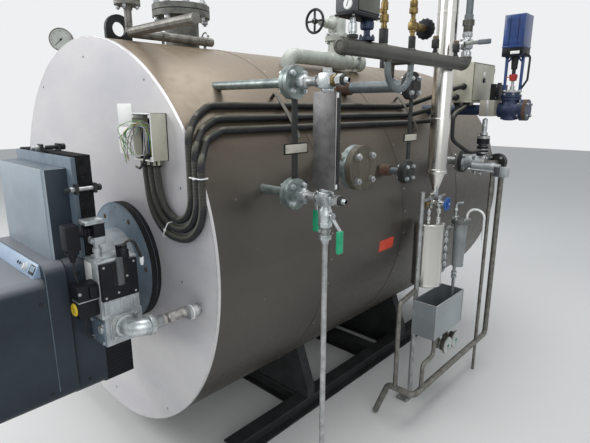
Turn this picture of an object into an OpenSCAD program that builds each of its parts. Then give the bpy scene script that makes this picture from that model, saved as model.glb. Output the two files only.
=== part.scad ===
/* [Casing] */
// Outer radius of the lagged casing
casing_r = 900; // [880:1:1000]
// Length of the casing from front cover face to rear cover face
casing_len = 2620; // [2560:10:2900]
// Height of the casing's underside above the floor
casing_clearance = 180; // [175:1:300]
// Thickness of the lagging and its sheet
lagging_t = 100; // [60:1:140]
// Thickness of the end covers
cover_t = 12; // [6:1:20]
// How far the cover rims stand out past the casing
rim_proud = 3; // [1:0.5:6]
// Gap between curved faces that seat on each other
seat_gap = 0.3; // [0.2:0.1:0.5]

/* [Flue outlet] */
// Outer radius of the flue spigot
flue_r = 160; // [120:1:200]
// Wall of the flue spigot
flue_wall = 6; // [4:1:10]
// Length of the flue spigot behind the rear cover
flue_len = 160; // [120:5:260]
// Height of the flue axis above the casing axis
flue_rise = 420; // [350:5:480]
// Pitch circle diameter of the flue flange holes
flue_pcd = 380; // [370:1:420]
// Number of flue flange holes
flue_holes = 8; // [4:2:12]
// Radius of the flue flange holes
flue_hole_r = 7; // [5:0.5:9]

/* [Base] */
// Height of the base beams
beam_h = 100; // [80:5:120]
// Width of the base beams
beam_w = 80; // [60:5:100]
// Distance of each base beam from the middle plane
beam_x = 607; // [560:1:640]
// Thickness of the beam web
web_t = 8; // [6:1:12]
// Thickness of the beam flanges
beam_flange_t = 10; // [8:1:14]
// Distance of the base beams' ends from the ends of the casing
beam_inset = 250; // [150:10:400]
// Place of the middle cross member
middle_bar_y = 1530; // [1300:10:1700]
// Distance of each saddle from the nearer end
saddle_inset = 810; // [700:10:900]
// Thickness of each saddle
saddle_t = 60; // [40:1:90]
// Height of the saddle horns above the casing's underside
saddle_rise = 210; // [160:5:240]

/* [Lifting lugs] */
// Distance of each lug from the nearer end
lug_inset = 176; // [150:1:260]
// Outer radius of each lug
lug_r = 63; // [55:1:75]
// Radius of the lug eye
lug_eye_r = 32; // [20:1:38]
// Thickness of each lug
lug_t = 20; // [15:1:30]
// Height of the lug eye above the casing
lug_eye_rise = 52; // [45:1:70]

/* [Burner] */
// Sideways place of the burner axis
burner_x = 271; // [255:1:280]
// Drop of the burner axis below the casing axis
burner_drop = 50; // [35:1:60]
// Radius of the burner mounting flange
burner_flange_r = 257; // [240:1:280]
// Thickness of the burner mounting flange
burner_flange_t = 27; // [20:1:40]
// Thickness of the flange gasket
gasket_t = 18; // [8:1:25]
// Radius of the burner neck
neck_r = 145; // [120:1:155]
// Place of the burner body's rear face in front of the cover
body_rear = 262; // [255:1:280]
// Width of the burner housing
housing_w = 558; // [540:2:580]
// Length of the burner housing from seam to front
housing_len = 424; // [380:2:520]
// Depth of the housing part behind the seam
housing_back = 114; // [100:1:130]
// Depth of the burner housing below the burner axis
housing_low = 375; // [330:1:390]
// Height of the burner housing above the burner axis
housing_high = 135; // [120:1:150]
// Drop of the housing's front top
front_drop = 47; // [35:1:60]
// Depth of the housing's higher top from the seam
high_top_len = 69; // [60:1:80]
// Run of the sloped display strip
slope_run = 25; // [18:1:35]
// Rounding of the housing edges
housing_round = 42; // [20:1:60]
// Step of the rear housing behind the front housing's side
back_step = 20; // [10:1:30]
// Width of the upper hood
hood_w = 454; // [400:2:480]
// Depth of the upper hood
hood_d = 82; // [70:1:95]
// Height of the upper hood's top above the burner axis
hood_high = 450; // [420:1:470]
// Width of the hinge plate
plate_w = 538; // [520:1:545]
// Thickness of the hinge plate
plate_t = 14; // [8:1:20]
// Height of the hinge plate's top above the burner axis
plate_high = 487; // [475:1:500]
// Depth of the black rear frame
frame_d = 54; // [40:1:60]
// Height of the air intake grille
intake_h = 222; // [180:1:225]
// Depth of the air intake grille
intake_d = 120; // [100:1:130]

/* [Gas train] */
// Width of the gas valve block
valve_w = 108; // [90:1:120]
// Depth of the gas valve block
valve_d = 148; // [130:1:160]
// Depth of the gas valve block below the burner axis
valve_low = 182; // [160:1:190]
// Height of the gas valve block above the burner axis
valve_high = 134; // [110:1:134]
// Pipe radius of the gas elbow
elbow_r = 33; // [28:1:38]
// Bend radius of the gas elbow
elbow_bend = 55; // [50:1:65]
// Outer radius of the gas hose
gas_hose_r = 22; // [16:1:24]

/* [Junction box] */
// Width of the junction box
jbox_w = 130; // [110:1:150]
// Height of the junction box
jbox_h = 168; // [150:1:190]
// Depth of the junction box
jbox_d = 66; // [60:1:80]
// Wall of the junction box
jbox_wall = 3; // [2:0.5:5]
// Sideways place of the box's inner side
jbox_x = 508; // [490:1:520]
// Height of the box's underside above the casing axis
jbox_rise = 412; // [400:1:420]
// Radius of a cable conduit
conduit_r = 14.5; // [10:0.5:15]
// Radius of a cable gland
gland_r = 18; // [16:0.5:19]
// Length of a cable gland
gland_len = 22; // [15:1:30]

/* [Level gauge] */
// Place of the level gauge along the casing
gauge_y = 276; // [260:1:300]
// Height of the lower gauge nozzle above the casing axis
gauge_low_rise = 296; // [280:1:320]
// Height of the upper gauge nozzle above the casing axis
gauge_high_rise = 686; // [660:1:700]
// Distance of the gauge flanges' outer faces beyond the casing's side
gauge_out = 130; // [100:1:150]
// Radius of the gauge flanges
gauge_flange_r = 57; // [50:1:60]
// Radius of the gauge nozzle pipes
gauge_pipe_r = 17; // [13:1:21]
// Thickness of one small flange
small_flange_t = 16; // [12:1:20]
// Width of the gauge body
gauge_body_w = 90; // [70:1:100]
// Depth of the gauge body
gauge_body_d = 32; // [25:1:40]
// Distance of the gauge body's middle from the flange face
gauge_offset = 133; // [125:1:145]
// Radius of the drain pipe below the gauge
drain_r = 10.65; // [8:0.05:14]
// Length of the green lever grips
grip_len = 80; // [65:1:95]

/* [Side nozzles] */
// Place of the blank nozzle along the casing
blank_y = 645; // [620:1:670]
// Height of the blank nozzle above the casing axis
blank_rise = 359; // [340:1:370]
// Radius of the blank flange
blank_r = 92.5; // [85:0.5:100]
// Distance of the blank flange's outer face beyond the casing's side
blank_out = 162; // [120:1:170]
// Thickness of the blank flange
blank_flange_t = 26; // [18:1:30]
// Place of the probe nozzles along the casing
probe_y = 1115; // [1100:1:1130]
// Height of the lower probe nozzle above the casing axis
probe_low_rise = 290; // [280:1:310]
// Height of the upper probe nozzle above the casing axis
probe_high_rise = 702; // [690:1:715]
// Distance of the probe flanges' outer faces beyond the casing's side
probe_out = 112; // [70:1:120]
// Radius of the probe flanges
probe_flange_r = 64; // [55:1:68]

/* [Instrument header] */
// Pipe radius of the instrument header
header_r = 30; // [25:0.5:33]
// Distance of the header beyond the casing's side
header_out = 180; // [175:1:195]
// Near end of the header
header_y0 = 452; // [440:1:460]
// Far end of the header
header_y1 = 1468; // [1460:1:1500]
// Height of the header axis above the casing axis
header_rise = 817; // [810:1:825]
// Pipe radius of the siphon bend
siphon_r = 13; // [10:0.5:15]
// Length of the header lever from its axle
header_lever_len = 140; // [120:1:170]

/* [Top fittings] */
// Place of the steam nozzle along the casing
steam_y = 524; // [480:1:540]
// Pipe radius of the steam nozzle
steam_r = 84; // [76:1:90]
// Bore radius of the steam nozzle
steam_bore_r = 78; // [60:1:80]
// Radius of the steam flanges
steam_flange_r = 142.5; // [138:0.5:150]
// Pitch circle diameter of the steam flange holes
steam_pcd = 240; // [230:1:250]
// Number of steam flange holes
steam_holes = 8; // [4:4:8]
// Radius of the steam flange holes
steam_hole_r = 11; // [9:0.5:13]
// Height of the lower steam flange's underside above the casing
steam_flange_rise = 142; // [100:1:160]
// Thickness of a steam flange
steam_flange_t = 26; // [22:1:30]
// Distance of the top valve line from the middle plane
top_valve_x = 400; // [390:1:420]
// Place of the top valve body
top_valve_y = 1300; // [1290:1:1330]
// Radius of the top handwheel
top_wheel_r = 66; // [55:1:75]
// Radius of the pressure dial
dial_r = 53; // [45:1:70]

/* [Sampling set] */
// Radius of the clad riser
riser_r = 52; // [45:1:52]
// Distance of the riser beyond the casing's side
riser_out = 85; // [80:1:90]
// Place of the riser along the casing
riser_y = 1466; // [1455:1:1475]
// Top of the riser's flange
riser_top = 2240; // [2100:5:2300]
// Radius of the sample cooler
cooler_r = 82; // [60:1:82]
// Length of the sample cooler
cooler_len = 356; // [330:1:380]
// Underside height of the sample cooler
cooler_z = 706; // [700:1:720]
// Radius of the cooling vessel
vessel_r = 37; // [34:1:44]
// Width of the tundish
tundish_w = 134; // [120:1:150]
// Length of the tundish
tundish_len = 340; // [320:1:350]
// Height of the tundish
tundish_h = 200; // [180:1:215]
// Wall of the tundish
tundish_wall = 2.5; // [2:0.5:4]
// Radius of the stand post
post_r = 13; // [10:0.5:17]
// Radius of the low blowdown run
low_run_r = 16.85; // [13:0.05:20]
// Height of the low blowdown run
low_run_z = 200; // [180:1:230]

/* [Blowdown and feed] */
// Place of the blowdown nozzle along the casing
blowdown_y = 1850; // [1840:1:1860]
// Height of the blowdown nozzle above the casing axis
blowdown_rise = 282; // [270:1:290]
// Radius of the blowdown flange
blowdown_flange_r = 66; // [58:1:70]
// Width of the control box, across the casing
cbox_w = 120; // [100:1:130]
// Length of the control box, along the casing
cbox_len = 310; // [280:1:330]
// Height of the control box
cbox_h = 220; // [200:1:240]
// Height of the control box's underside above the casing axis
cbox_rise = 635; // [633:1:650]
// Radius of the feed pipe
feed_r = 30; // [25:1:33]
// Height of the feed pipe above the casing axis
feed_rise = 588; // [580:1:592]
// Width of the feed actuator
actuator_w = 104; // [90:1:120]
// Height of the feed actuator's top above the feed pipe
actuator_high = 500; // [470:1:530]

/* [Hidden] */
$fn = 64;
casing_fn = 180;
round_fn = 48;
fine_fn = 24;
tube_sides = 12;
bend_steps = 6;

axis_z = casing_clearance + casing_r;
casing_top = axis_z + casing_r;
saddle_top_z = casing_clearance + saddle_rise;
burner_z = axis_z - burner_drop;
housing_bottom = burner_z - housing_low;
housing_top = burner_z + housing_high;
hood_top = burner_z + hood_high;
plate_top = burner_z + plate_high;
valve_bottom = burner_z - valve_low;
valve_top = burner_z + valve_high;
jbox_z = axis_z + jbox_rise;
gauge_low_z = axis_z + gauge_low_rise;
gauge_high_z = axis_z + gauge_high_rise;
gauge_face_x = casing_r + gauge_out;
blank_z = axis_z + blank_rise;
blank_face_x = casing_r + blank_out;
probe_low_z = axis_z + probe_low_rise;
probe_high_z = axis_z + probe_high_rise;
probe_face_x = casing_r + probe_out;
header_x = casing_r + header_out;
header_z = axis_z + header_rise;
steam_flange_z = casing_top + steam_flange_rise;
riser_x = casing_r + riser_out;
blowdown_z = axis_z + blowdown_rise;
cbox_z = axis_z + cbox_rise;
feed_z = axis_z + feed_rise;
actuator_top = feed_z + actuator_high;
conduit_ring = casing_r + seat_gap + conduit_r;
housing_front = -(body_rear + housing_back + housing_len);
seam_y = -(body_rear + housing_back);
housing_right = burner_x + housing_w / 2;
housing_left = burner_x - housing_w / 2;
back_right = housing_right - back_step;
back_left = housing_left + back_step;
plate_front = -(body_rear + 54);
plate_rear = plate_front + plate_t;
frame_rear = plate_rear + frame_d;
frame_top = plate_top + 6;
valve_x0 = back_right + 2;
valve_x1 = valve_x0 + valve_w;
valve_front = -(body_rear + 44);
valve_rear = valve_front + valve_d;
elbow_y = valve_front + 74;
elbow_z = valve_bottom + 67;
gauge_x = gauge_face_x + gauge_offset;
drain_valve_z = gauge_low_z - 58;
lever_pivot_x = gauge_x + 30;
cock_lever_x = gauge_face_x + 51;
cock_stem = 46;
steam_top = steam_flange_z + 2 * steam_flange_t + 4;
riser_cone_z = 1330;
cooler_x = casing_r + 98;
cooler_y = 1400;
cooler_top = cooler_z + cooler_len;
left_pipe_y = 1405;
valve_pipe_x = cooler_x + 22;
valve_pipe_y = 1451;
vessel_x = casing_r + 203;
vessel_y = 1570;
vessel_z = 792;
vessel_len = 252;
tundish_x = casing_r + 110;
tundish_y = 1250;
tundish_z = 448;
low_run_x = casing_r + 238;
low_run_y0 = 1066;
outlet_y = 2035;
drain_top_y = 1878;
disc_places = [1455, 1560];
post_x = casing_r + 94;
post_y = 1302;
cbox_x = casing_r - 10;
cbox_y = 1790;
feed_y = 1880;
feed_x = casing_r + 300;
blowdown_face = casing_r + 75;
blowdown_end = blowdown_face + 137;

function unit(v) = v / norm(v);
function bend(a, b, c, r) =
    let (
        u = unit(a - b),
        w = unit(c - b),
        half = acos(u * w) / 2,
        mid = b + unit(u + w) * r / sin(half),
        s = b + u * r / tan(half) - mid,
        e = b + w * r / tan(half) - mid,
        turn = 180 - 2 * half
    )
    [for (k = [0 : bend_steps])
        mid + (s * sin(turn * (1 - k / bend_steps)) + e * sin(turn * k / bend_steps)) / sin(turn)];
function route(p, r) =
    let (last = len(p) - 1)
    concat([p[0]],
        [for (i = [1 : 1 : last - 1]) each bend(p[i - 1], p[i], p[i + 1], is_list(r) ? r[i - 1] : r)],
        [p[last]]);
function tangent(p, i) = unit(p[min(i + 1, len(p) - 1)] - p[max(i - 1, 0)]);
function side_of(t) = abs(t.z) < 0.9 ? unit(cross(t, [0, 0, 1])) : unit(cross(t, [1, 0, 0]));
function carry(n, t) = unit(n - t * (n * t));
function sides_along(p, i, n) =
    i == len(p) ? [] : let (m = carry(n, tangent(p, i))) concat([m], sides_along(p, i + 1, m));

// Places what follows from the plane of the front cover
module from_front() {
    translate([0, -saddle_inset, 0]) children();
}
// A tube swept along a list of points
module tube(p, r, sides = tube_sides) {
    rings = sides_along(p, 0, side_of(tangent(p, 0)));
    count = len(p);
    points = [for (i = [0 : count - 1]) for (k = [0 : sides - 1])
        let (n = rings[i], b = cross(tangent(p, i), n), a = 360 * k / sides)
        p[i] + r * (cos(a) * n + sin(a) * b)];
    walls = [for (i = [0 : count - 2]) for (k = [0 : sides - 1])
        let (a = i * sides + k, b = i * sides + (k + 1) % sides)
        [a, a + sides, b + sides, b]];
    first = [for (k = [0 : sides - 1]) k];
    final = [for (k = [sides - 1 : -1 : 0]) (count - 1) * sides + k];
    polyhedron(points, concat(walls, [first], [final]), convexity = 6);
}

// Round bars along each axis, given by their start and end
module bar_x(x0, x1, y, z, r, fn = round_fn) {
    translate([x0, y, z]) rotate([0, 90, 0]) cylinder(h = x1 - x0, r = r, $fn = fn);
}
module bar_y(y0, y1, x, z, r, fn = round_fn) {
    translate([x, y0, z]) rotate([-90, 0, 0]) cylinder(h = y1 - y0, r = r, $fn = fn);
}
module bar_z(z0, z1, x, y, r, fn = round_fn) {
    translate([x, y, z0]) cylinder(h = z1 - z0, r = r, $fn = fn);
}
module block(a, b) {
    translate(a) cube(b - a);
}
module rounded(w, h, r) {
    translate([r, 0]) square([w - 2 * r, h]);
    translate([0, r]) square([w, h - 2 * r]);
    for (x = [r, w - r], y = [r, h - r]) translate([x, y]) circle(r, $fn = round_fn);
}
// A rounded box whose rounded edges run along Y
module rounded_y(a, b, r) {
    translate([a.x, b.y, a.z]) rotate([90, 0, 0])
        linear_extrude(b.y - a.y) rounded(b.x - a.x, b.z - a.z, r);
}
// A rounded box whose rounded edges run along Z
module rounded_z(a, b, r) {
    translate(a) linear_extrude(b.z - a.z) rounded(b.x - a.x, b.y - a.y, r);
}
// A quarter bend across X, its start angle counted from straight up towards the rear
module bend_across_x(at, start, bend_r, r) {
    translate(at) rotate([0, -90, 0]) rotate([0, 0, start])
        rotate_extrude(angle = 90, $fn = round_fn) translate([bend_r, 0]) circle(r, $fn = round_fn);
}
// The room that the casing takes, cut from all that seats on it
module casing_room() {
    bar_y(0, casing_len, 0, axis_z, casing_r + seat_gap, casing_fn);
}
module beam_profile() {
    difference() {
        translate([-beam_w / 2, 0]) square([beam_w, beam_h]);
        for (side = [-1, 1]) translate([side * (web_t / 2 + beam_w / 2), beam_h / 2])
            square([beam_w, beam_h - 2 * beam_flange_t], center = true);
    }
}

module casing() color("#6f6a66") from_front() {
    difference() {
        bar_y(cover_t, casing_len - cover_t, 0, axis_z, casing_r, casing_fn);
        bar_y(0, casing_len, 0, axis_z, casing_r - lagging_t, casing_fn);
    }
}
module front_cover() color("#b9b6c4") from_front() {
    bar_y(0, cover_t, 0, axis_z, casing_r + rim_proud, casing_fn);
}
module rear_cover() color("#8f8b90") from_front() {
    difference() {
        bar_y(casing_len - cover_t, casing_len, 0, axis_z, casing_r + rim_proud, casing_fn);
        bar_y(0, casing_len + cover_t, 0, axis_z + flue_rise, flue_r - flue_wall);
    }
}
module flue_outlet() color("#77736f") from_front() {
    difference() {
        union() {
            bar_y(casing_len, casing_len + flue_len, 0, axis_z + flue_rise, flue_r);
            bar_y(casing_len + flue_len - cover_t, casing_len + flue_len, 0,
                axis_z + flue_rise, flue_pcd / 2 + 3 * flue_hole_r);
        }
        bar_y(casing_len - cover_t, casing_len + flue_len + cover_t, 0,
            axis_z + flue_rise, flue_r - flue_wall);
        for (k = [0 : flue_holes - 1]) {
            a = (k + 0.5) * 360 / flue_holes;
            bar_y(casing_len + flue_len - 2 * cover_t, casing_len + flue_len + cover_t,
                flue_pcd / 2 * cos(a), axis_z + flue_rise + flue_pcd / 2 * sin(a),
                flue_hole_r, fine_fn);
        }
    }
}
module base_beams() color("#3f4246") from_front() {
    for (side = [-1, 1]) translate([side * beam_x, casing_len - beam_inset, 0])
        rotate([90, 0, 0]) linear_extrude(casing_len - 2 * beam_inset) beam_profile();
}
module base_crossbars() color("#3f4246") from_front() {
    inner = beam_x - beam_w / 2;
    for (y = [saddle_inset, middle_bar_y, casing_len - saddle_inset]) translate([-inner, y, 0])
        rotate([90, 0, 90]) linear_extrude(2 * inner) beam_profile();
}
module saddles() color("#46494d") from_front() {
    end = beam_x + beam_w / 2;
    horn = end - 87;
    for (y = [saddle_inset, casing_len - saddle_inset]) difference() {
        translate([0, y + saddle_t / 2, 0]) rotate([90, 0, 0]) linear_extrude(saddle_t)
            polygon([[-end, beam_h], [end, beam_h], [end, beam_h + 60],
                [horn, saddle_top_z], [-horn, saddle_top_z], [-end, beam_h + 60]]);
        casing_room();
    }
}
module lifting_lugs() color("#26282b") from_front() {
    for (y = [lug_inset, casing_len - lug_inset])
        translate([-lug_t / 2, y, casing_top + seat_gap]) rotate([90, 0, 90])
        linear_extrude(lug_t) difference() {
            union() {
                translate([0, lug_eye_rise]) circle(lug_r, $fn = round_fn);
                translate([-lug_r, 0]) square([2 * lug_r, lug_eye_rise]);
            }
            translate([0, lug_eye_rise]) circle(lug_eye_r, $fn = round_fn);
            translate([-2 * lug_r, -2 * lug_r]) square([4 * lug_r, 2 * lug_r]);
        }
}

module burner_gasket() color("#2a2c30") from_front() {
    bar_y(-gasket_t, 0, burner_x, burner_z, burner_flange_r - 2, $fn);
}
module burner_flange() color("#8fa3bd") from_front() {
    bar_y(-gasket_t - burner_flange_t, -gasket_t, burner_x, burner_z, burner_flange_r, $fn);
}
module burner_neck() color("#b9bcc0") from_front() {
    bar_y(-body_rear, -gasket_t - burner_flange_t, burner_x, burner_z, neck_r, $fn);
    block([burner_x, -body_rear, elbow_z + 40], [valve_x0, valve_rear - 10, elbow_z + 185]);
}
module burner_housing() color("#3a4450") from_front() {
    rounded_y([housing_left, housing_front, housing_bottom],
        [housing_right, seam_y - high_top_len, housing_top - front_drop], housing_round);
    rounded_y([housing_left, seam_y - high_top_len, housing_bottom],
        [housing_right, seam_y, housing_top], housing_round);
    rounded_y([back_left, seam_y, housing_bottom - 15],
        [back_right, -body_rear, housing_top], housing_round);
}
module display_panel() color("#a9bdd6") from_front() {
    y1 = seam_y - high_top_len;
    z1 = housing_top;
    translate([housing_left + housing_round, 0, 0]) rotate([90, 0, 90])
        linear_extrude(housing_w - 2 * housing_round)
        polygon([[y1, z1], [y1 - slope_run, z1 - front_drop], [y1, z1 - front_drop]]);
}
module burner_hood() color("#8d9bab") from_front() {
    rounded_z([burner_x - hood_w / 2, plate_front - hood_d, housing_top],
        [burner_x + hood_w / 2, plate_front, hood_top], 12);
}
module hinge_plate() color("#b7bcbc") from_front() {
    block([burner_x - plate_w / 2, plate_front, housing_top],
        [burner_x + plate_w / 2, plate_rear, plate_top]);
}
module rear_frame() color("#1f2021") from_front() {
    block([burner_x - plate_w / 2 + 3, plate_rear, burner_z + neck_r + seat_gap],
        [burner_x + plate_w / 2 - 3, frame_rear, frame_top]);
}
module tie_bolts() color("#b5b5b0") from_front() {
    reach = 26;
    rod_r = 7;
    ear = 17;
    tie_z = plate_top - 106;
    for (side = [-1, 1]) {
        outer = side * (plate_w / 2 + reach);
        mid = side * (plate_w / 2 + reach / 2);
        for (y = [plate_front - 2, frame_rear - 8])
            block([burner_x + min(side * plate_w / 2, outer), y, tie_z - ear],
                [burner_x + max(side * plate_w / 2, outer), y + 10, tie_z + ear]);
        bar_y(plate_front - 16, frame_rear + 8, burner_x + mid, tie_z, rod_r, fine_fn);
    }
    for (y = [plate_front - 2, frame_rear - 8])
        block([burner_x - ear, y, frame_top], [burner_x + ear, y + 10, frame_top + reach]);
    bar_y(plate_front - 16, frame_rear + 8, burner_x, frame_top + reach / 2, rod_r, fine_fn);
}
module air_intake() color("#1d1e20") from_front() {
    block([housing_left + 50, -body_rear, housing_bottom - 20],
        [housing_right - 50, -body_rear + intake_d, housing_bottom - 20 + intake_h]);
}

module gas_valve_body() color("#b8c2cf") from_front() {
    mid_z = valve_bottom + 112;
    block([valve_x0, valve_front + 6, valve_bottom], [valve_x1, valve_rear, mid_z]);
    block([valve_x0, valve_front, mid_z], [valve_x1, valve_rear - 6, valve_top]);
    bar_x(valve_x1 - 20, valve_x1 + 12, elbow_y, elbow_z, elbow_r + 14);
}
module gas_valve_coils() color("#17181b") from_front() {
    block([valve_x1, valve_front + 2, valve_top - 139], [valve_x1 + 14, valve_rear - 12, valve_top - 6]);
    block([valve_x1 - 20, valve_rear - 70, valve_top], [valve_x1 + 4, valve_rear - 38, valve_top + 46]);
}
module pressure_switches() color("#202225") from_front() {
    x1 = valve_x1;
    y0 = valve_front;
    block([x1 - 50, y0 - 86, valve_top + 52], [x1 - 4, y0 - 52, valve_top + 142]);
    block([x1 - 50, y0, valve_top + 84], [x1, y0 + 36, valve_top + 152]);
    bar_y(y0 - 53, y0 + 1, x1 - 26, valve_top + 110, 11, fine_fn);
    bar_z(valve_top, valve_top + 85, x1 - 30, y0 + 18, 10, fine_fn);
    block([x1 - 62, y0 - 72, burner_z + 8], [x1 - 10, y0, burner_z + 65]);
    block([x1 - 58, y0 - 72, burner_z - 55], [x1 - 14, y0, burner_z + 8]);
}
module gas_elbow() color("#d5dde2") from_front() {
    start = valve_x1 + 12;
    bar_x(start, start + 8, elbow_y, elbow_z, elbow_r + 6);
    translate([start + 8, elbow_y + elbow_bend, elbow_z]) rotate([0, 0, -90])
        rotate_extrude(angle = 90, $fn = round_fn) translate([elbow_bend, 0])
        circle(elbow_r, $fn = round_fn);
    bar_y(elbow_y + elbow_bend, elbow_y + elbow_bend + 14,
        start + 8 + elbow_bend, elbow_z, elbow_r + 5);
}
hose_start = [valve_x1 + 20 + elbow_bend, elbow_y + elbow_bend + 14, elbow_z];
module gas_hose() color("#9b9a98") from_front() {
    reach = -hose_start.y;
    end_x = hose_start.x + 74;
    end_z = hose_start.z + 30;
    tube(route([hose_start, hose_start + [0, reach * 0.4, 0],
        hose_start + [40, reach * 0.68, 22], [end_x, -28, end_z]], 30), gas_hose_r);
    bar_y(-40, -14, end_x, end_z, gas_hose_r + 4);
    bar_y(-14, 0, end_x, end_z, 12, fine_fn);
}

module junction_box() color("#c3c2b2") from_front() {
    difference() {
        block([jbox_x, -jbox_d, jbox_z], [jbox_x + jbox_w, 0, jbox_z + jbox_h]);
        block([jbox_x + jbox_wall, -jbox_d - 1, jbox_z + jbox_wall],
            [jbox_x + jbox_w - jbox_wall, -jbox_wall, jbox_z + jbox_h - jbox_wall]);
    }
    for (k = [0 : 2])
        bar_z(jbox_z - gland_len, jbox_z, jbox_x + 17 + 40 * k, -jbox_d / 2, gland_r, fine_fn);
}
function on_casing(angle, y, rise = 0) =
    [(conduit_ring + rise) * cos(angle), y, axis_z + (conduit_ring + rise) * sin(angle)];
conduit_angles = [34.5, 37.8, 41.8];
// Each conduit hangs in a loop, climbs past the rim and runs along the casing
module cable_conduits() color("#26272a") from_front() {
    top = jbox_z - gland_len - seat_gap;
    hang_y = -jbox_d / 2;
    lie_y = -conduit_r - 2.5;
    front_y = cbox_y - seat_gap;
    under_z = cbox_z - seat_gap;
    for (k = [0 : 2]) {
        x0 = jbox_x + 17 + 40 * k;
        x1 = casing_r - 42 - 32 * k;
        low = axis_z + 125 + 35 * k;
        rise = axis_z + [420, 460, 510][k];
        over = on_casing([31.8, 34.5, 37.8][k], 60, 15);
        a = conduit_angles[k];
        leave = [
            [[cbox_x - 30, 1700, cbox_z - 105], [cbox_x + 25, cbox_y + 22, cbox_z - 85],
                [cbox_x + 25, cbox_y + 22, under_z]],
            [[cbox_x - 50, 1700, cbox_z - 35], [cbox_x + 30, 1740, cbox_z + 25],
                [cbox_x + 30, front_y, cbox_z + 25]],
            [[cbox_x + 70, 1740, cbox_z + 85], [cbox_x + 70, front_y, cbox_z + 85]]][k];
        last = [[40, 20], [40, 20], [20]][k];
        tube(route(concat([[x0, hang_y, top], [x0, hang_y, top - 25], [x0, lie_y, low],
            [x1, lie_y, low], [x1, lie_y, rise], over, on_casing(a, 160), on_casing(a, 1620)], leave),
            concat([60, 150 - 25 * k, 150 - 25 * k, 40, 30, 60, 60], last)), conduit_r);
    }
    probe = [blowdown_face + 103, blowdown_y - 32 - seat_gap, blowdown_z + 72];
    tube(route([[cbox_x + 80, cbox_y + 30, under_z], [cbox_x + 80, cbox_y + 30, cbox_z - 25],
        [cbox_x + 110, 1590, cbox_z - 70], [cbox_x + 120, 1575, cbox_z - 210],
        [probe[0], 1660, probe[2]], probe], [20, 40, 40, 60]), 12);
}
module conduit_clips() color("#8a8880") from_front() {
    strap_t = 3;
    strap_w = 22;
    inner = conduit_ring + conduit_r + seat_gap;
    outer = inner + strap_t;
    wedge = 2 * casing_r;
    ends = [31, 45.5];
    for (y = [530, 1560])
        translate([0, y + strap_w, axis_z]) rotate([90, 0, 0]) linear_extrude(strap_w) {
            intersection() {
                difference() {
                    circle(outer, $fn = casing_fn);
                    circle(inner, $fn = casing_fn);
                }
                polygon([[0, 0], wedge * [cos(ends[0]), sin(ends[0])], wedge * [cos(ends[1]), sin(ends[1])]]);
            }
            rotate(ends[0]) translate([casing_r + seat_gap, 0]) square([outer - casing_r - 1, strap_t]);
            rotate(ends[1]) translate([casing_r + seat_gap, -strap_t])
                square([outer - casing_r - 1, strap_t]);
        }
}

module flange_pair_x(face, y, z, r, t) {
    bar_x(face - 2 * t - 2, face - t - 2, y, z, r);
    bar_x(face - t - 2, face - t, y, z, r - 6);
    bar_x(face - t, face, y, z, r);
}
module nozzle_x(face, y, z, r, pipe_r, t) {
    flange_pair_x(face, y, z, r, t);
    difference() {
        bar_x(casing_r / 3, face - t, y, z, pipe_r);
        casing_room();
    }
}
module gauge_nozzles() color("#8b928d") from_front() {
    for (z = [gauge_low_z, gauge_high_z])
        nozzle_x(gauge_face_x, gauge_y, z, gauge_flange_r, gauge_pipe_r, small_flange_t);
}
module gauge_cocks() color("#c9cfce") from_front() {
    body_top = gauge_high_z - 34;
    body_low = gauge_low_z + 34;
    for (z = [gauge_low_z, gauge_high_z]) {
        bar_x(gauge_face_x, gauge_x + 66, gauge_y, z, 14, fine_fn);
        bar_x(gauge_face_x + 20, gauge_face_x + 44, gauge_y, z, 24, 6);
        bar_x(gauge_x - 26, gauge_x + 26, gauge_y, z, 23, 6);
        bar_x(gauge_x + 44, gauge_x + 62, gauge_y, z, 20, 6);
        bar_x(gauge_x + 66, gauge_x + 88, gauge_y, z, 7, fine_fn);
    }
    bar_z(body_top, gauge_high_z + 40, gauge_x, gauge_y, 16, 6);
    bar_z(drain_valve_z - 34, body_low, gauge_x, gauge_y, 16, fine_fn);
    bar_z(drain_valve_z - 20, drain_valve_z + 20, gauge_x, gauge_y, 23, 8);
    bar_x(gauge_x, lever_pivot_x, gauge_y, drain_valve_z, 8, fine_fn);
    bar_y(gauge_y, gauge_y + cock_stem, cock_lever_x, gauge_low_z, 8, fine_fn);
}
module gauge_body() color("#8c8d92") from_front() {
    block([gauge_x - gauge_body_w / 2, gauge_y - gauge_body_d / 2, gauge_low_z + 34],
        [gauge_x + gauge_body_w / 2, gauge_y + gauge_body_d / 2, gauge_high_z - 34]);
}
// A flat lever that hangs from its axle, with a grip at its end
module lever_down(len, grip, w, t) {
    bar_x(0, t, 0, 0, 13, fine_fn);
    block([0, -w / 2, -len + grip], [t, w / 2, 0]);
    block([-t, -w, -len], [2 * t, w, -len + grip]);
}
module drain_lever() color("#12a56b") from_front() {
    crank = 33;
    drop = 46;
    t = 4;
    translate([lever_pivot_x + seat_gap, gauge_y, drain_valve_z]) {
        bar_x(0, t, 0, 0, 13, fine_fn);
        translate([0, 6, 0]) rotate([90, 0, 0]) linear_extrude(12)
            polygon([[0, 6], [t, 6], [t, -4], [crank + t, -drop], [crank + t, -drop - 14],
                [crank, -drop - 14], [crank, -drop - 2], [0, -8]]);
        block([crank - t, -12, -drop - grip_len], [crank + 2 * t, 12, -drop]);
    }
}
module cock_lever() color("#12a56b") from_front() {
    translate([cock_lever_x, gauge_y + cock_stem + seat_gap, gauge_low_z]) rotate([0, 0, 90])
        lever_down(60 + grip_len, grip_len, 12, 4);
}
module drain_pipe() color("#a3a4a2") from_front() {
    bar_z(18, drain_valve_z - 34, gauge_x, gauge_y, drain_r, fine_fn);
    bar_z(drain_valve_z - 70, drain_valve_z - 34, gauge_x, gauge_y, drain_r + 7, 6);
    bar_z(0, 18, gauge_x, gauge_y, drain_r + 12, fine_fn);
}
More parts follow.
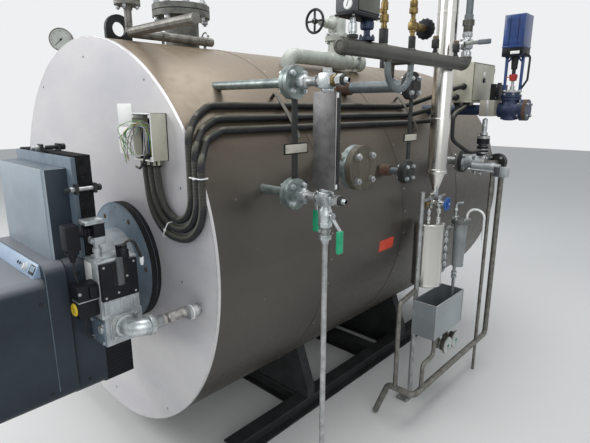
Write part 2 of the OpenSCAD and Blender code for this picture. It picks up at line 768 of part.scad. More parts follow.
module level_mark_bars() color("#2c2f33") from_front() {
    bar_w = 24;
    plate_half = 61;
    for (k = [[gauge_face_x, gauge_y, gauge_low_z, gauge_high_z, gauge_flange_r],
            [probe_face_x, probe_y, probe_low_z, probe_high_z, probe_flange_r]]) {
        x = k[0] - small_flange_t;
        plate_z = k[2] + k[4] + 88;
        block([x, k[1] - bar_w / 2, k[2] + k[4]], [x + 8, k[1] + bar_w / 2, k[3] - k[4]]);
        block([x + 8, k[1] - plate_half, plate_z], [x + 12, k[1] + plate_half, plate_z + 38]);
    }
}
module blank_nozzle() color("#85827a") from_front() {
    nozzle_x(blank_face_x, blank_y, blank_z, blank_r, 38, blank_flange_t);
}
module probe_nozzles() color("#3d4347") from_front() {
    nozzle_x(probe_face_x, probe_y, probe_low_z, probe_flange_r - 8, 17, small_flange_t);
    nozzle_x(probe_face_x, probe_y, probe_high_z, probe_flange_r, 28, small_flange_t);
    difference() {
        bar_x(casing_r / 3, casing_r + 5, probe_y, probe_low_z, 26);
        casing_room();
    }
    difference() {
        bar_x(casing_r / 3, casing_r - 260, probe_y, probe_high_z, 36);
        casing_room();
    }
}

module instrument_header() color("#55534f") from_front() {
    elbow = header_r + 8;
    bar_y(header_y0, header_y1, header_x, header_z, header_r);
    bar_y(header_y0 - 8, header_y0, header_x, header_z, header_r - 4);
    bend_across_x([header_x, header_y1, header_z + elbow], 90, elbow, header_r);
    feed_x0 = header_x - 200;
    bar_z(probe_high_z + 28 + seat_gap, header_z, feed_x0, probe_y, 17);
    translate([feed_x0, probe_y, header_z]) sphere(17, $fn = round_fn);
    bar_x(feed_x0, header_x, probe_y, header_z, 17);
    siphon_low = header_z - 142;
    siphon_rise = header_z - header_r - seat_gap;
    tube(route([[header_x, 765, siphon_rise], [header_x, 765, siphon_low], [header_x, 951, siphon_low],
        [header_x, 951, siphon_rise]], 90), siphon_r);
}
module pressure_box() color("#565a5e") from_front() {
    base = header_z + header_r + seat_gap;
    box_z = header_z + 103;
    bar_z(base, box_z, header_x, 520, 9, fine_fn);
    bar_z(base, base + 14, header_x, 520, 17, 6);
    bar_z(base + 20, base + 54, header_x, 520, 15, 6);
    rounded_z([header_x - 44, 474, box_z], [header_x + 36, 636, box_z + 132], 8);
    bar_z(base, base + 12, header_x, 610, 29);
    bar_z(base + 12, base + 40, header_x, 610, 11);
    bar_z(base + 40, box_z, header_x, 610, 23);
}
module brass_fittings() color("#b48b45") from_front() {
    base = header_z + header_r + seat_gap;
    bar_z(base, base + 58, header_x, 726, 15, 6);
    bar_z(base + 58, base + 190, header_x, 726, 10, fine_fn);
    bar_z(base + 80, base + 108, header_x, 726, 17, 6);
    bar_z(base + 190, base + 262, header_x, 726, 22, fine_fn);
    bar_z(base, base + 60, header_x, 950, 9, fine_fn);
    bar_z(base + 60, base + 200, header_x, 950, 12, fine_fn);
    bar_z(base + 150, base + 196, header_x, 950, 17, 6);
    bar_y(950, 1060, header_x, base + 92, 17, fine_fn);
    bar_z(base, base + 24, header_x, 1165, 9, fine_fn);
    bar_z(base + 24, base + 78, header_x, 1165, 14, fine_fn);
    bar_z(base, base + 20, header_x, 1385, 9, fine_fn);
    bar_z(base + 20, base + 70, header_x, 1385, 13, fine_fn);
}
header_valve_y = header_y1 + header_r + 8;
header_valve_z = header_z + header_r + 8;
module header_valve() color("#c4c3ba") from_front() {
    y = header_valve_y;
    z = header_valve_z;
    bar_z(z, z + 26, header_x, y, 24, 6);
    bar_z(z + 26, z + 96, header_x, y, 18, fine_fn);
    bar_z(z + 40, z + 82, header_x, y, 29, 8);
    bar_y(y - 42, y, header_x, z + 61, 8, fine_fn);
    bar_z(z + 96, z + 116, header_x, y, 24, 6);
    bar_z(z + 116, z + 150, header_x, y, 22, fine_fn);
    bar_z(z + 150, z + 178, header_x, y, 28, 8);
    bar_z(z + 178, z + 320, header_x, y, 17, fine_fn);
}
module header_lever() color("#8b8f93") from_front() {
    reach = header_lever_len;
    grip = 62;
    y = header_valve_y - 42 - seat_gap;
    translate([header_x, y, header_valve_z + 61]) {
        bar_y(-4, 0, 0, 0, 13, fine_fn);
        block([0, -4, -9], [reach - grip, 0, 9]);
        block([reach - grip, -8, -11], [reach, 4, 11]);
    }
}

module steam_nozzle() color("#6c6e68") from_front() {
    difference() {
        union() {
            bar_z(casing_top - 60, steam_flange_z + 4, 0, steam_y, steam_r);
            bar_z(steam_flange_z, steam_flange_z + steam_flange_t, 0, steam_y, steam_flange_r);
            bar_z(steam_flange_z + steam_flange_t, steam_top - steam_flange_t, 0, steam_y,
                steam_flange_r - 22);
            bar_z(steam_top - steam_flange_t, steam_top, 0, steam_y, steam_flange_r);
        }
        casing_room();
        bar_z(casing_top - 80, steam_top + 1, 0, steam_y, steam_bore_r);
        for (k = [0 : steam_holes - 1]) {
            a = (k + 0.5) * 360 / steam_holes;
            bar_z(steam_flange_z - 1, steam_top + 1, steam_pcd / 2 * cos(a),
                steam_y + steam_pcd / 2 * sin(a), steam_hole_r, fine_fn);
        }
    }
}
valve_line_z = casing_top - 34;
wheel_axis_z = casing_top + 155;
wheel_reach = 200;
module top_valve() color("#9aa39f") from_front() {
    x = top_valve_x;
    pipe_r = 38;
    root_y = 877;
    difference() {
        union() {
            bar_z(casing_top - 200, valve_line_z - 70, x, root_y, pipe_r);
            bend_across_x([x, root_y + 70, valve_line_z - 70], -90, 70, pipe_r);
        }
        casing_room();
    }
    flange_y = top_valve_y + 184;
    bar_y(root_y + 70, top_valve_y + 110, x, valve_line_z, pipe_r);
    bar_y(top_valve_y - 70, top_valve_y + 70, x, valve_line_z, pipe_r + 10);
    bar_y(top_valve_y + 109, flange_y, x, valve_line_z, pipe_r - 6);
    bar_y(flange_y, flange_y + 18, x, valve_line_z, 52);
    bar_y(flange_y + 18, flange_y + 21, x, valve_line_z, 46);
    bar_y(flange_y + 21, flange_y + 39, x, valve_line_z, 52);
    bar_z(valve_line_z + 30, casing_top + 76, x, top_valve_y, 50);
    bar_z(casing_top + 70, casing_top + 96, x, top_valve_y, 70);
    bar_z(casing_top + 90, wheel_axis_z + 50, x, top_valve_y, 46);
    bar_y(top_valve_y - 90, top_valve_y, x, wheel_axis_z, 24);
    bar_y(top_valve_y - wheel_reach - 13, top_valve_y - 89, x, wheel_axis_z, 8, fine_fn);
}
// A spoked wheel about an axis along Y
module wheel_y(at, r, rim, hub_r, hub_len, spokes, bore_r) {
    translate(at) rotate([-90, 0, 0]) difference() {
        union() {
            rotate_extrude($fn = round_fn) translate([r - rim, 0]) circle(rim, $fn = fine_fn);
            translate([0, 0, -hub_len / 2]) cylinder(h = hub_len, r = hub_r, $fn = fine_fn);
            for (k = [0 : spokes - 1]) rotate([0, 0, k * 360 / spokes + 90])
                translate([hub_r / 2, -rim * 0.7, -rim * 0.5])
                cube([r - rim - hub_r / 2, rim * 1.4, rim]);
        }
        translate([0, 0, -hub_len]) cylinder(h = 2 * hub_len, r = bore_r, $fn = fine_fn);
    }
}
module top_handwheel() color("#1b1c1e") from_front() {
    wheel_y([top_valve_x, top_valve_y - wheel_reach, wheel_axis_z], top_wheel_r, 7, 14, 20, 4,
        8 + seat_gap);
}
module dial_gauge() color("#d8dadb") from_front() {
    x = -306;
    y = 40;
    z = casing_top + 20;
    difference() {
        bar_z(casing_top - 200, z - dial_r + 6, x, y, 8, fine_fn);
        casing_room();
    }
    translate([x, y, z]) rotate([-90, 0, 58]) translate([0, 0, -18])
        cylinder(h = 36, r = dial_r, $fn = round_fn);
}
vent_x = 130;
vent_y = 157;
vent_z = casing_top + 23;
module vent_pipe() color("#8f9590") from_front() {
    r = 21;
    far = 610;
    top = casing_top + 133;
    tube(route([[vent_x + 500, vent_y, vent_z], [vent_x, vent_y, vent_z], [vent_x, far, vent_z]],
        34), r);
    bar_z(vent_z, top, vent_x + 4, vent_y, 16, fine_fn);
    bar_z(top, top + 16, vent_x + 4, vent_y, 55);
    bar_z(top + 16, top + 18, vent_x + 4, vent_y, 46);
    bar_z(top + 18, top + 34, vent_x + 4, vent_y, 55);
    for (y = [330, 570]) {
        block([vent_x - 28, y - 12, vent_z - 9], [vent_x + 28, y + 12, vent_z + 9]);
        difference() {
            bar_z(casing_top - 90, vent_z - 9, vent_x - 5, y, 7, fine_fn);
            casing_room();
        }
    }
}

module riser() color("#c9ccc8") from_front() {
    bar_z(riser_cone_z, riser_top, riser_x, riser_y, riser_r, $fn);
    bar_z(riser_cone_z, riser_cone_z + 16, riser_x, riser_y, riser_r + 3, $fn);
    translate([riser_x, riser_y, riser_cone_z - 100])
        cylinder(h = 100, r1 = 13, r2 = riser_r - 6, $fn = round_fn);
    bar_z(riser_cone_z - 124, riser_cone_z - 100, riser_x, riser_y, 16, 6);
    bar_y(left_pipe_y - 8, riser_y, riser_x, riser_cone_z - 112, 8, fine_fn);
}
module sample_cooler() color("#c6c8c4") from_front() {
    valve_z = cooler_top + 106;
    bar_z(cooler_z, cooler_top, cooler_x, cooler_y, cooler_r, $fn);
    bar_z(cooler_top - 8, cooler_top + 4, cooler_x, cooler_y, cooler_r - 6, $fn);
    bar_z(cooler_z - 30, cooler_z, cooler_x - 20, cooler_y, 11, fine_fn);
    bar_z(cooler_top, riser_cone_z - 120 - seat_gap, riser_x, left_pipe_y, 7, fine_fn);
    block([riser_x - 14, left_pipe_y - 16, cooler_top + 80],
        [riser_x + 16, left_pipe_y + 14, cooler_top + 128]);
    for (z = [cooler_top + 10, cooler_top + 46])
        bar_z(z, z + 22, riser_x, left_pipe_y, 12, 6);
    bar_z(cooler_top, valve_z, valve_pipe_x, valve_pipe_y, 7, fine_fn);
    for (z = [cooler_top, cooler_top + 48])
        bar_z(z, z + 26, valve_pipe_x, valve_pipe_y, 14, 6);
    bar_x(riser_x, valve_pipe_x + 21, valve_pipe_y, valve_z, 13, fine_fn);
    bar_z(valve_z, valve_z + 36, valve_pipe_x, valve_pipe_y, 12, 8);
    bar_y(left_pipe_y, valve_pipe_y, riser_x, valve_z, 8, fine_fn);
    bar_x(valve_pipe_x + 21, valve_pipe_x + 59, valve_pipe_y, valve_z, 5, fine_fn);
}
module sample_handwheel() color("#1f63b8") from_front() {
    translate([valve_pipe_x + 47, valve_pipe_y, cooler_top + 106]) rotate([0, 0, 90])
        wheel_y([0, 0, 0], 36, 5, 9, 14, 5, 5 + seat_gap);
}
module sample_stand() color("#9c9d9a") from_front() {
    bar_z(8, 1245, post_x, post_y, post_r, fine_fn);
    block([post_x - 60, post_y - 50, 0], [post_x + 10, post_y + 50, 8]);
    for (z = [cooler_z + 40, cooler_top - 60])
        difference() {
            block([post_x - 8, post_y, z], [post_x + 12, cooler_y - cooler_r + 14, z + 24]);
            bar_z(0, riser_top, cooler_x, cooler_y, cooler_r + seat_gap, $fn);
        }
    strap_z = cooler_top + 130;
    block([post_x + 3, post_y, strap_z], [post_x + 9, 1560, strap_z + 12]);
}
module cooling_vessel() color("#a9adb0") from_front() {
    lid_z = vessel_z + vessel_len;
    translate([vessel_x, vessel_y, vessel_z])
        cylinder(h = vessel_len, r1 = vessel_r - 6, r2 = vessel_r, $fn = $fn);
    bar_z(lid_z, lid_z + 8, vessel_x, vessel_y, vessel_r + 14);
    bar_z(lid_z + 8, lid_z + 14, vessel_x, vessel_y, vessel_r + 10);
    bar_z(lid_z + 14, lid_z + 24, vessel_x, vessel_y, vessel_r + 14);
    bar_z(tundish_z + 160, vessel_z + 4, vessel_x - 10, vessel_y - 14, 9, fine_fn);
    for (z = [vessel_z - 74, vessel_z - 50])
        bar_z(z, z + 16, vessel_x - 10, vessel_y - 14, 15, 6);
    top = lid_z + 22;
    tube(route([[vessel_x + 30, vessel_y + 8, top], [vessel_x + 30, vessel_y + 8, top + 66],
        [vessel_x + 126, vessel_y + 8, top + 66], [vessel_x + 126, vessel_y + 8, top - 100]], 44), 6, 8);
    tube(route([[vessel_x - 34, vessel_y, top], [vessel_x - 34, vessel_y, top + 88],
        [vessel_x + 4, vessel_y + 4, top + 96]], 12), 6, 8);
    chain_x = vessel_x - 62;
    chain_y = vessel_y - 41;
    chain_low = 755;
    toward = unit([chain_x - cooler_x, chain_y - cooler_y, 0]);
    tube(route([[vessel_x - 20, vessel_y - 12, lid_z - 24], [chain_x, chain_y, lid_z - 24],
        [chain_x, chain_y, chain_low],
        [cooler_x, cooler_y, chain_low] + (cooler_r + seat_gap) * toward], 16), 8, 8);
    for (z = [786, 832, 880, 930, 968]) bar_z(z, z + 24, chain_x, chain_y, 15, 6);
}
module tundish() color("#a7abb3") from_front() {
    difference() {
        block([tundish_x, tundish_y, tundish_z],
            [tundish_x + tundish_w, tundish_y + tundish_len, tundish_z + tundish_h]);
        block([tundish_x + tundish_wall, tundish_y + tundish_wall, tundish_z + tundish_wall],
            [tundish_x + tundish_w - tundish_wall, tundish_y + tundish_len - tundish_wall,
                tundish_z + tundish_h + 1]);
    }
}
module drain_pipework() color("#8e8c87") from_front() {
    tube(route([[blowdown_end + seat_gap, blowdown_y, blowdown_z], [low_run_x, blowdown_y, blowdown_z],
        [low_run_x, outlet_y, blowdown_z], [low_run_x, outlet_y, low_run_z],
        [low_run_x, low_run_y0, low_run_z], [low_run_x - 153, low_run_y0, low_run_z],
        [low_run_x - 222, low_run_y0 - 8, 12]], [24, 32, 32, 32, 32]), low_run_r);
    for (y = [1920, 1942])
        bar_y(y, y + 20, low_run_x, blowdown_z, 52);
    bar_y(1938, 1944, low_run_x, blowdown_z, 44);
    bar_z(0, low_run_z, low_run_x, drain_top_y, 9, fine_fn);
}
module sampling_drains() color("#8e8c87") from_front() {
    on_run = low_run_z + low_run_r + seat_gap;
    drip_y = 1150;
    bar_z(on_run, blowdown_z - low_run_r - seat_gap, low_run_x, drain_top_y, 10.65, fine_fn);
    tube(route([[tundish_x + 120, tundish_y + 35, tundish_z], [tundish_x + 120, tundish_y + 35, 345],
        [low_run_x, drip_y, 345], [low_run_x, drip_y, on_run]], 24), 12, 8);
    for (y = disc_places) {
        bar_z(300, tundish_z, tundish_x + 60, y, 12, fine_fn);
        bar_z(318, 358, tundish_x + 60, y, 18, 8);
    }
    rise_x = low_run_x - 110;
    tube(route([[rise_x, low_run_y0, on_run], [rise_x, low_run_y0, 690],
        [post_x, post_y - post_r - seat_gap, 690]], 30), 13, 8);
}
module flow_discs() color("#c8c8c2") from_front() {
    valve_x = tundish_x + 78 + seat_gap;
    for (y = disc_places) {
        bar_x(valve_x, valve_x + 10, y, 338, 10, fine_fn);
        bar_x(valve_x + 10, valve_x + 38, y, 338, 38);
        bar_x(valve_x + 38, valve_x + 50, y, 338, 50);
    }
}
module blowdown_valve() color("#8e9290") from_front() {
    face = blowdown_face;
    nozzle_x(face, blowdown_y, blowdown_z, blowdown_flange_r, 24, small_flange_t);
    bar_x(face, blowdown_end - small_flange_t, blowdown_y, blowdown_z, 42);
    bar_x(blowdown_end - small_flange_t, blowdown_end, blowdown_y, blowdown_z, 54);
    stack_x = face + 103;
    stack_z = blowdown_z + 38;
    bar_z(blowdown_z, stack_z + 8, stack_x, blowdown_y, 16, fine_fn);
    bar_z(stack_z + 8, stack_z + 62, stack_x, blowdown_y, 32);
    bar_z(stack_z + 62, stack_z + 72, stack_x, blowdown_y, 24);
    bar_z(stack_z + 72, stack_z + 120, stack_x, blowdown_y, 35);
    bar_z(stack_z + 120, stack_z + 216, stack_x, blowdown_y, 14, fine_fn);
    bar_z(stack_z + 216, stack_z + 222, stack_x, blowdown_y, 5, fine_fn);
    arm_y = blowdown_y - 46;
    bar_x(face + 70, face + 230, arm_y, blowdown_z - 15, 19, fine_fn);
    bar_x(face + 53, face + 210, arm_y - 8, blowdown_z - 39, 7, fine_fn);
    block([face + 205, arm_y - 24, blowdown_z - 66], [face + 275, arm_y + 24, blowdown_z - 12]);
    bar_y(arm_y, blowdown_y, face + 80, blowdown_z - 15, 12, fine_fn);
}
module control_box() color("#b4b09f") from_front() {
    block([cbox_x, cbox_y, cbox_z], [cbox_x + cbox_w, cbox_y + cbox_len, cbox_z + cbox_h]);
    difference() {
        block([cbox_x + 20, feed_y - 16, feed_z], [cbox_x + 90, feed_y + 16, cbox_z]);
        bar_x(0, feed_x, feed_y, feed_z, feed_r + seat_gap);
    }
}
module feed_valve() color("#1f3a78") from_front() {
    difference() {
        bar_x(casing_r / 3, feed_x - 60, feed_y, feed_z, feed_r);
        casing_room();
    }
    bar_x(feed_x - 60, feed_x + 60, feed_y, feed_z, 40);
    bar_x(feed_x + 60, feed_x + 78, feed_y, feed_z, 57);
    bar_x(feed_x + 78, feed_x + 98, feed_y, feed_z, 57);
    bar_z(feed_z - 52, feed_z + 96, feed_x, feed_y, 46);
}
module feed_cladding() color("#a3a297") from_front() {
    difference() {
        block([feed_x - 143, feed_y - 77, feed_z - feed_r - 4], [feed_x - 62, feed_y + 77, feed_z + 54]);
        bar_x(0, feed_x, feed_y, feed_z, feed_r + seat_gap);
    }
}
module feed_relay_box() color("#1f2022") from_front() {
    low = feed_z + 54 + seat_gap;
    block([feed_x - 90, feed_y - 77, low], [feed_x - 66, feed_y + 120, low + 88]);
}
module feed_actuator() color("#27448c") from_front() {
    yoke_z = feed_z + 96;
    base_z = feed_z + 287;
    for (side = [-1, 1])
        bar_z(yoke_z, base_z, feed_x + side * 42, feed_y, 8, fine_fn);
    bar_z(yoke_z, base_z, feed_x, feed_y, 7, fine_fn);
    bar_z(feed_z + 162, feed_z + 184, feed_x, feed_y, 16, fine_fn);
    block([feed_x - 55, feed_y - 58, base_z], [feed_x + 55, feed_y + 58, base_z + 45]);
    block([feed_x - actuator_w / 2, feed_y - 60, base_z + 45],
        [feed_x + actuator_w / 2, feed_y + 60, actuator_top]);
}

casing();
front_cover();
rear_cover();
flue_outlet();
base_beams();
base_crossbars();
saddles();
lifting_lugs();
burner_flange();
burner_gasket();
burner_neck();
burner_housing();
display_panel();
burner_hood();
hinge_plate();
rear_frame();
tie_bolts();
air_intake();
gas_valve_body();
gas_valve_coils();
pressure_switches();
gas_elbow();
gas_hose();
junction_box();
cable_conduits();
conduit_clips();
gauge_nozzles();
gauge_cocks();
gauge_body();
drain_lever();
cock_lever();
drain_pipe();
level_mark_bars();
blank_nozzle();
probe_nozzles();
instrument_header();
pressure_box();
brass_fittings();
header_valve();
header_lever();
steam_nozzle();
top_valve();
top_handwheel();
dial_gauge();
vent_pipe();
riser();
sample_cooler();
sample_handwheel();
sample_stand();
cooling_vessel();
tundish();
drain_pipework();
sampling_drains();
flow_discs();
blowdown_valve();
control_box();
feed_valve();
feed_cladding();
feed_relay_box();
feed_actuator();
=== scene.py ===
import bpy
import math
import random
from mathutils import Matrix, Vector


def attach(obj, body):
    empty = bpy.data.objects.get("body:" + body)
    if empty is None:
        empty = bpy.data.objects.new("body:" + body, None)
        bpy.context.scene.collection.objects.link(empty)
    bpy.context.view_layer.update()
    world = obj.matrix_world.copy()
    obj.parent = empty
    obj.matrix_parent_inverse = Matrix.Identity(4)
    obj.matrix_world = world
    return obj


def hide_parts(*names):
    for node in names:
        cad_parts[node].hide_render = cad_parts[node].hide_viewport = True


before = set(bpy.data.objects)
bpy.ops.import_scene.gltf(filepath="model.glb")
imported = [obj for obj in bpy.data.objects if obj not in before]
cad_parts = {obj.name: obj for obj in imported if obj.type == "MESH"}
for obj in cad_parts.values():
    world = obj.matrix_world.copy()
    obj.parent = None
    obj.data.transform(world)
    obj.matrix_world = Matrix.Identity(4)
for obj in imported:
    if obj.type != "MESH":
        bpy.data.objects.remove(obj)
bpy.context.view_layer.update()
random.seed(7)
draw = random.uniform
frontY = -.81  # the front cover's plane lies this far in front of the origin


def place(x, y, z):  # millimetres from the front cover's plane, to metres in the shared frame
    return Vector((x / 1000, y / 1000 + frontY, z / 1000))


def clearSelection():
    if bpy.context.object and bpy.context.object.mode != "OBJECT":
        bpy.ops.object.mode_set(mode="OBJECT")
    bpy.ops.object.select_all(action="DESELECT")


clearSelection()

# where the photograph was taken from
cameraValues = {"spot": (2160, -952, 1681), "left": 42.88, "down": 13.73, "lens": 28.42}
bpy.ops.object.camera_add(location=place(*cameraValues["spot"]))
camera = bpy.context.object
camera.rotation_euler = (math.radians(90 - cameraValues["down"]), 0, math.radians(cameraValues["left"]))
camera.data.sensor_width = 36
camera.data.lens = cameraValues["lens"]
camera.data.clip_end = 60
bpy.context.scene.camera = camera
print("camera ready")

# materials: every finish is two tones in patches, fine specks, streaks and a worked surface
# each row: tone, shade, patch scale, amount of specks, their tone, grain scale, roughness from and to, metal, bump
finishValues = {
    "casingSheet": ((.09, .082, .071), (.067, .061, .053), 1.4, .1, (.34, .31, .28), 60, (.3, .46), .55, .05),
    "coverSheet": ((.64, .625, .62), (.53, .52, .56), 1.1, .1, (.62, .6, .58), 80, (.3, .45), .2, .04),
    "brightEdge": ((.66, .64, .62), (.45, .43, .42), 30, 0, None, 300, (.25, .4), .8, .05),
    "basePaint": ((.03, .032, .033), (.016, .016, .017), 9, .35, (.11, .09, .07), 120, (.55, .8), 0, .25),
    "blackSteel": ((.028, .029, .031), (.016, .016, .018), 20, .25, (.11, .1, .09), 200, (.35, .55), .2, .15),
    "roughBlack": ((.018, .018, .019), (.008, .008, .009), 40, .4, (.07, .07, .07), 150, (.7, .95), 0, .9),
    "burnerDark": ((.03, .04, .052), (.021, .029, .038), 5, .12, (.11, .13, .15), 900, (.38, .5), .1, .12),
    "burnerPale": ((.33, .385, .435), (.27, .32, .365), 5, .15, (.45, .47, .48), 900, (.4, .52), .1, .12),
    "plateGrey": ((.1, .135, .165), (.07, .095, .12), 9, .2, (.2, .2, .2), 400, (.4, .55), .3, .12),
    "displayFilm": ((.32, .42, .55), (.24, .33, .46), 8, 0, None, 500, (.3, .42), 0, .02),
    "flangeBlue": ((.28, .37, .46), (.2, .26, .32), 12, .25, (.34, .35, .36), 260, (.38, .55), .3, .3),
    "gasketBlack": ((.014, .014, .015), (.008, .008, .009), 30, .2, (.05, .05, .05), 500, (.7, .9), 0, .3),
    "castAlloy": ((.46, .49, .51), (.3, .325, .34), 22, .3, (.16, .17, .18), 700, (.34, .52), .5, .45),
    "zincWhite": ((.56, .59, .6), (.3, .33, .34), 26, .2, (.25, .26, .27), 500, (.22, .4), .75, .12),
    "zincPlate": ((.43, .44, .44), (.27, .28, .28), 30, .3, (.15, .15, .14), 420, (.3, .5), .75, .15),
    "stainless": ((.68, .67, .63), (.5, .49, .46), 6, .1, (.35, .34, .31), 900, (.14, .28), 1, .03),
    "agedSteel": ((.22, .215, .195), (.11, .105, .092), 28, .45, (.16, .085, .045), 260, (.38, .62), .6, .35),
    "gaugeSteel": ((.14, .137, .137), (.088, .087, .088), 24, .3, (.12, .1, .085), 400, (.3, .48), .75, .18),
    "greyIron": ((.155, .158, .14), (.075, .076, .068), 34, .5, (.27, .26, .22), 300, (.45, .7), .35, .5),
    "darkIron": ((.04, .043, .042), (.022, .023, .022), 34, .35, (.14, .12, .1), 300, (.42, .62), .3, .4),
    "rustCollar": ((.115, .06, .036), (.055, .033, .022), 50, .5, (.25, .14, .07), 350, (.65, .9), .1, .7),
    "blackPlastic": ((.007, .008, .012), (.004, .005, .007), 14, .15, (.07, .07, .07), 900, (.38, .55), 0, .12),
    "cableBlack": ((.026, .027, .029), (.015, .016, .017), 40, .2, (.09, .09, .09), 600, (.42, .6), 0, .15),
    "boxCream": ((.47, .46, .38), (.38, .37, .3), 9, .15, (.26, .24, .19), 600, (.4, .55), .05, .08),
    "brassWorn": ((.25, .175, .065), (.125, .088, .034), 45, .35, (.16, .11, .06), 500, (.28, .48), .85, .15),
    "gripGreen": ((.01, .36, .17), (.006, .25, .115), 20, .15, (.1, .5, .3), 500, (.34, .48), 0, .08),
    "wheelBlue": ((.01, .105, .42), (.006, .065, .27), 26, .2, (.15, .28, .5), 500, (.3, .45), 0, .08),
    "actuatorBlue": ((.022, .06, .21), (.014, .037, .13), 12, .15, (.15, .2, .34), 500, (.22, .36), 0, .05),
    "valveBlue": ((.012, .028, .075), (.007, .015, .042), 26, .25, (.08, .1, .14), 300, (.38, .55), .1, .4),
    "vesselGrey": ((.26, .28, .28), (.19, .205, .21), 10, .15, (.4, .41, .4), 400, (.36, .5), .2, .1),
    "dialPale": ((.7, .7, .66), (.6, .6, .57), 16, .1, (.5, .48, .42), 400, (.35, .5), 0, .04),
    "tieWhite": ((.78, .79, .78), (.66, .67, .66), 30, 0, None, 400, (.35, .5), 0, .05),
    "stickerOrange": ((.62, .06, .025), (.5, .045, .02), 14, .12, (.75, .25, .18), 300, (.35, .5), 0, .04),
    "labelWhite": ((.88, .88, .86), (.8, .8, .77), 12, 0, None, 300, (.4, .55), 0, .03),
    "redRubber": ((.42, .02, .016), (.27, .013, .01), 26, 0, None, 400, (.4, .55), 0, .1),
    "yellowPlastic": ((.75, .55, .03), (.6, .42, .02), 26, 0, None, 400, (.35, .5), 0, .08),
    "glassDark": ((.012, .014, .015), (.02, .022, .022), 12, 0, None, 300, (.05, .12), 0, .02),
    "terminalGrey": ((.5, .51, .5), (.4, .41, .4), 30, 0, None, 500, (.4, .55), 0, .1),
    "wireBlue": ((.03, .1, .36), (.02, .07, .26), 30, 0, None, 400, (.35, .5), 0, .05),
    "wireBrown": ((.16, .07, .03), (.11, .05, .02), 30, 0, None, 400, (.35, .5), 0, .05),
    "wireGreen": ((.1, .32, .06), (.07, .24, .05), 30, 0, None, 400, (.35, .5), 0, .05),
    "hingeBlue": ((.185, .245, .3), (.13, .175, .22), 8, .2, (.3, .34, .37), 500, (.36, .5), .25, .12),
    "braidSteel": ((.5, .49, .47), (.3, .29, .28), 60, .4, (.16, .15, .14), 700, (.28, .46), .9, .6),
    "paleZinc": ((.27, .315, .3), (.12, .15, .145), 30, .3, (.14, .15, .14), 420, (.32, .5), .65, .2),
    "plateCream": ((.52, .5, .42), (.42, .4, .33), 14, .2, (.2, .18, .14), 400, (.4, .55), .1, .05),
    "screenGlow": ((.22, .33, .38), (.16, .25, .3), 30, 0, None, 500, (.12, .2), 0, .02),
    "wireYellow": ((.42, .38, .05), (.33, .3, .04), 30, 0, None, 400, (.35, .5), 0, .05),
    "paleGreen": ((.22, .4, .3), (.17, .32, .24), 30, 0, None, 400, (.35, .5), 0, .05),
    "flangePatina": ((.105, .098, .072), (.06, .052, .038), 16, .5, (.19, .17, .12), 260, (.42, .68), .35, .4),
    "pipeGrey": ((.145, .17, .178), (.1, .12, .128), 22, .3, (.2, .19, .15), 300, (.38, .58), .25, .1),
    "headerSteel": ((.074, .073, .06), (.052, .051, .043), 9, .4, (.19, .17, .13), 280, (.32, .46), .35, .12),
    "paleCast": ((.44, .47, .42), (.32, .345, .31), 22, .35, (.13, .12, .09), 300, (.42, .6), .1, .4),
    "switchGrey": ((.072, .08, .088), (.048, .054, .06), 12, .2, (.14, .15, .15), 700, (.34, .48), 0, .12),
    "smokedCover": ((.075, .08, .06), (.05, .055, .042), 9, .1, (.12, .12, .1), 400, (.12, .22), 0, .02),
    "brownCap": ((.11, .075, .045), (.07, .05, .03), 40, .3, (.2, .15, .09), 500, (.4, .55), .2, .15),
    "leverGrey": ((.22, .235, .22), (.15, .16, .15), 20, .3, (.12, .12, .1), 400, (.34, .5), .5, .2),
    "gripGrey": ((.1, .12, .135), (.07, .085, .1), 20, .2, (.17, .18, .19), 600, (.45, .6), 0, .12),
    "vesselDark": ((.15, .16, .15), (.1, .11, .105), 16, .3, (.24, .24, .21), 400, (.38, .54), .4, .2),
    "claddingDull": ((.29, .28, .23), (.23, .22, .18), 8, .2, (.18, .16, .12), 300, (.45, .6), .1, .08),
    "sheetZinc": ((.34, .375, .39), (.27, .3, .315), 5, .15, (.2, .21, .21), 500, (.26, .38), .6, .06),
    "clipSteel": ((.13, .125, .105), (.075, .072, .062), 60, .4, (.34, .33, .28), 420, (.4, .6), .5, .3),
    "discPale": ((.46, .49, .46), (.36, .385, .36), 20, .25, (.2, .2, .18), 400, (.36, .5), .1, .1),
    "tealCap": ((.05, .2, .19), (.03, .14, .135), 30, 0, None, 400, (.35, .5), 0, .05),
}
# more for some of them: stretch of the patches, gloss, painted top light (a lighter tone on what faces up, standing in
# for light from above and its reflection) and how steep a face may be for it
finishMore = {
    # the casing's warm lighter top is a painted reflection of a warm wall
    "casingSheet": dict(stretch=(1, .4, 1), paintedTopLight=(.25, .19, .125)),
    "coverSheet": dict(stretch=(1, 1, 2.5)),
    "basePaint": dict(gloss=.22),
    "blackSteel": dict(gloss=.22),
    "roughBlack": dict(gloss=.08),
    # the lighter tops of the burner housing and hood are painted top light
    "burnerDark": dict(gloss=.22, paintedTopLight=(.225, .235, .255)),
    "burnerPale": dict(paintedTopLight=(.42, .44, .44)),
    "gasketBlack": dict(gloss=.22),
    "stainless": dict(stretch=(1, 1, .05)),
    "darkIron": dict(gloss=.22),
    "blackPlastic": dict(gloss=.2),
    # the lighter tops of the conduits are a painted highlight
    "cableBlack": dict(gloss=.22, paintedTopLight=(.17, .165, .125), paintedTopLightFrom=.2),
    "glassDark": dict(gloss=.2),
    "flangePatina": dict(stretch=(1, 3.2, .45)),
}


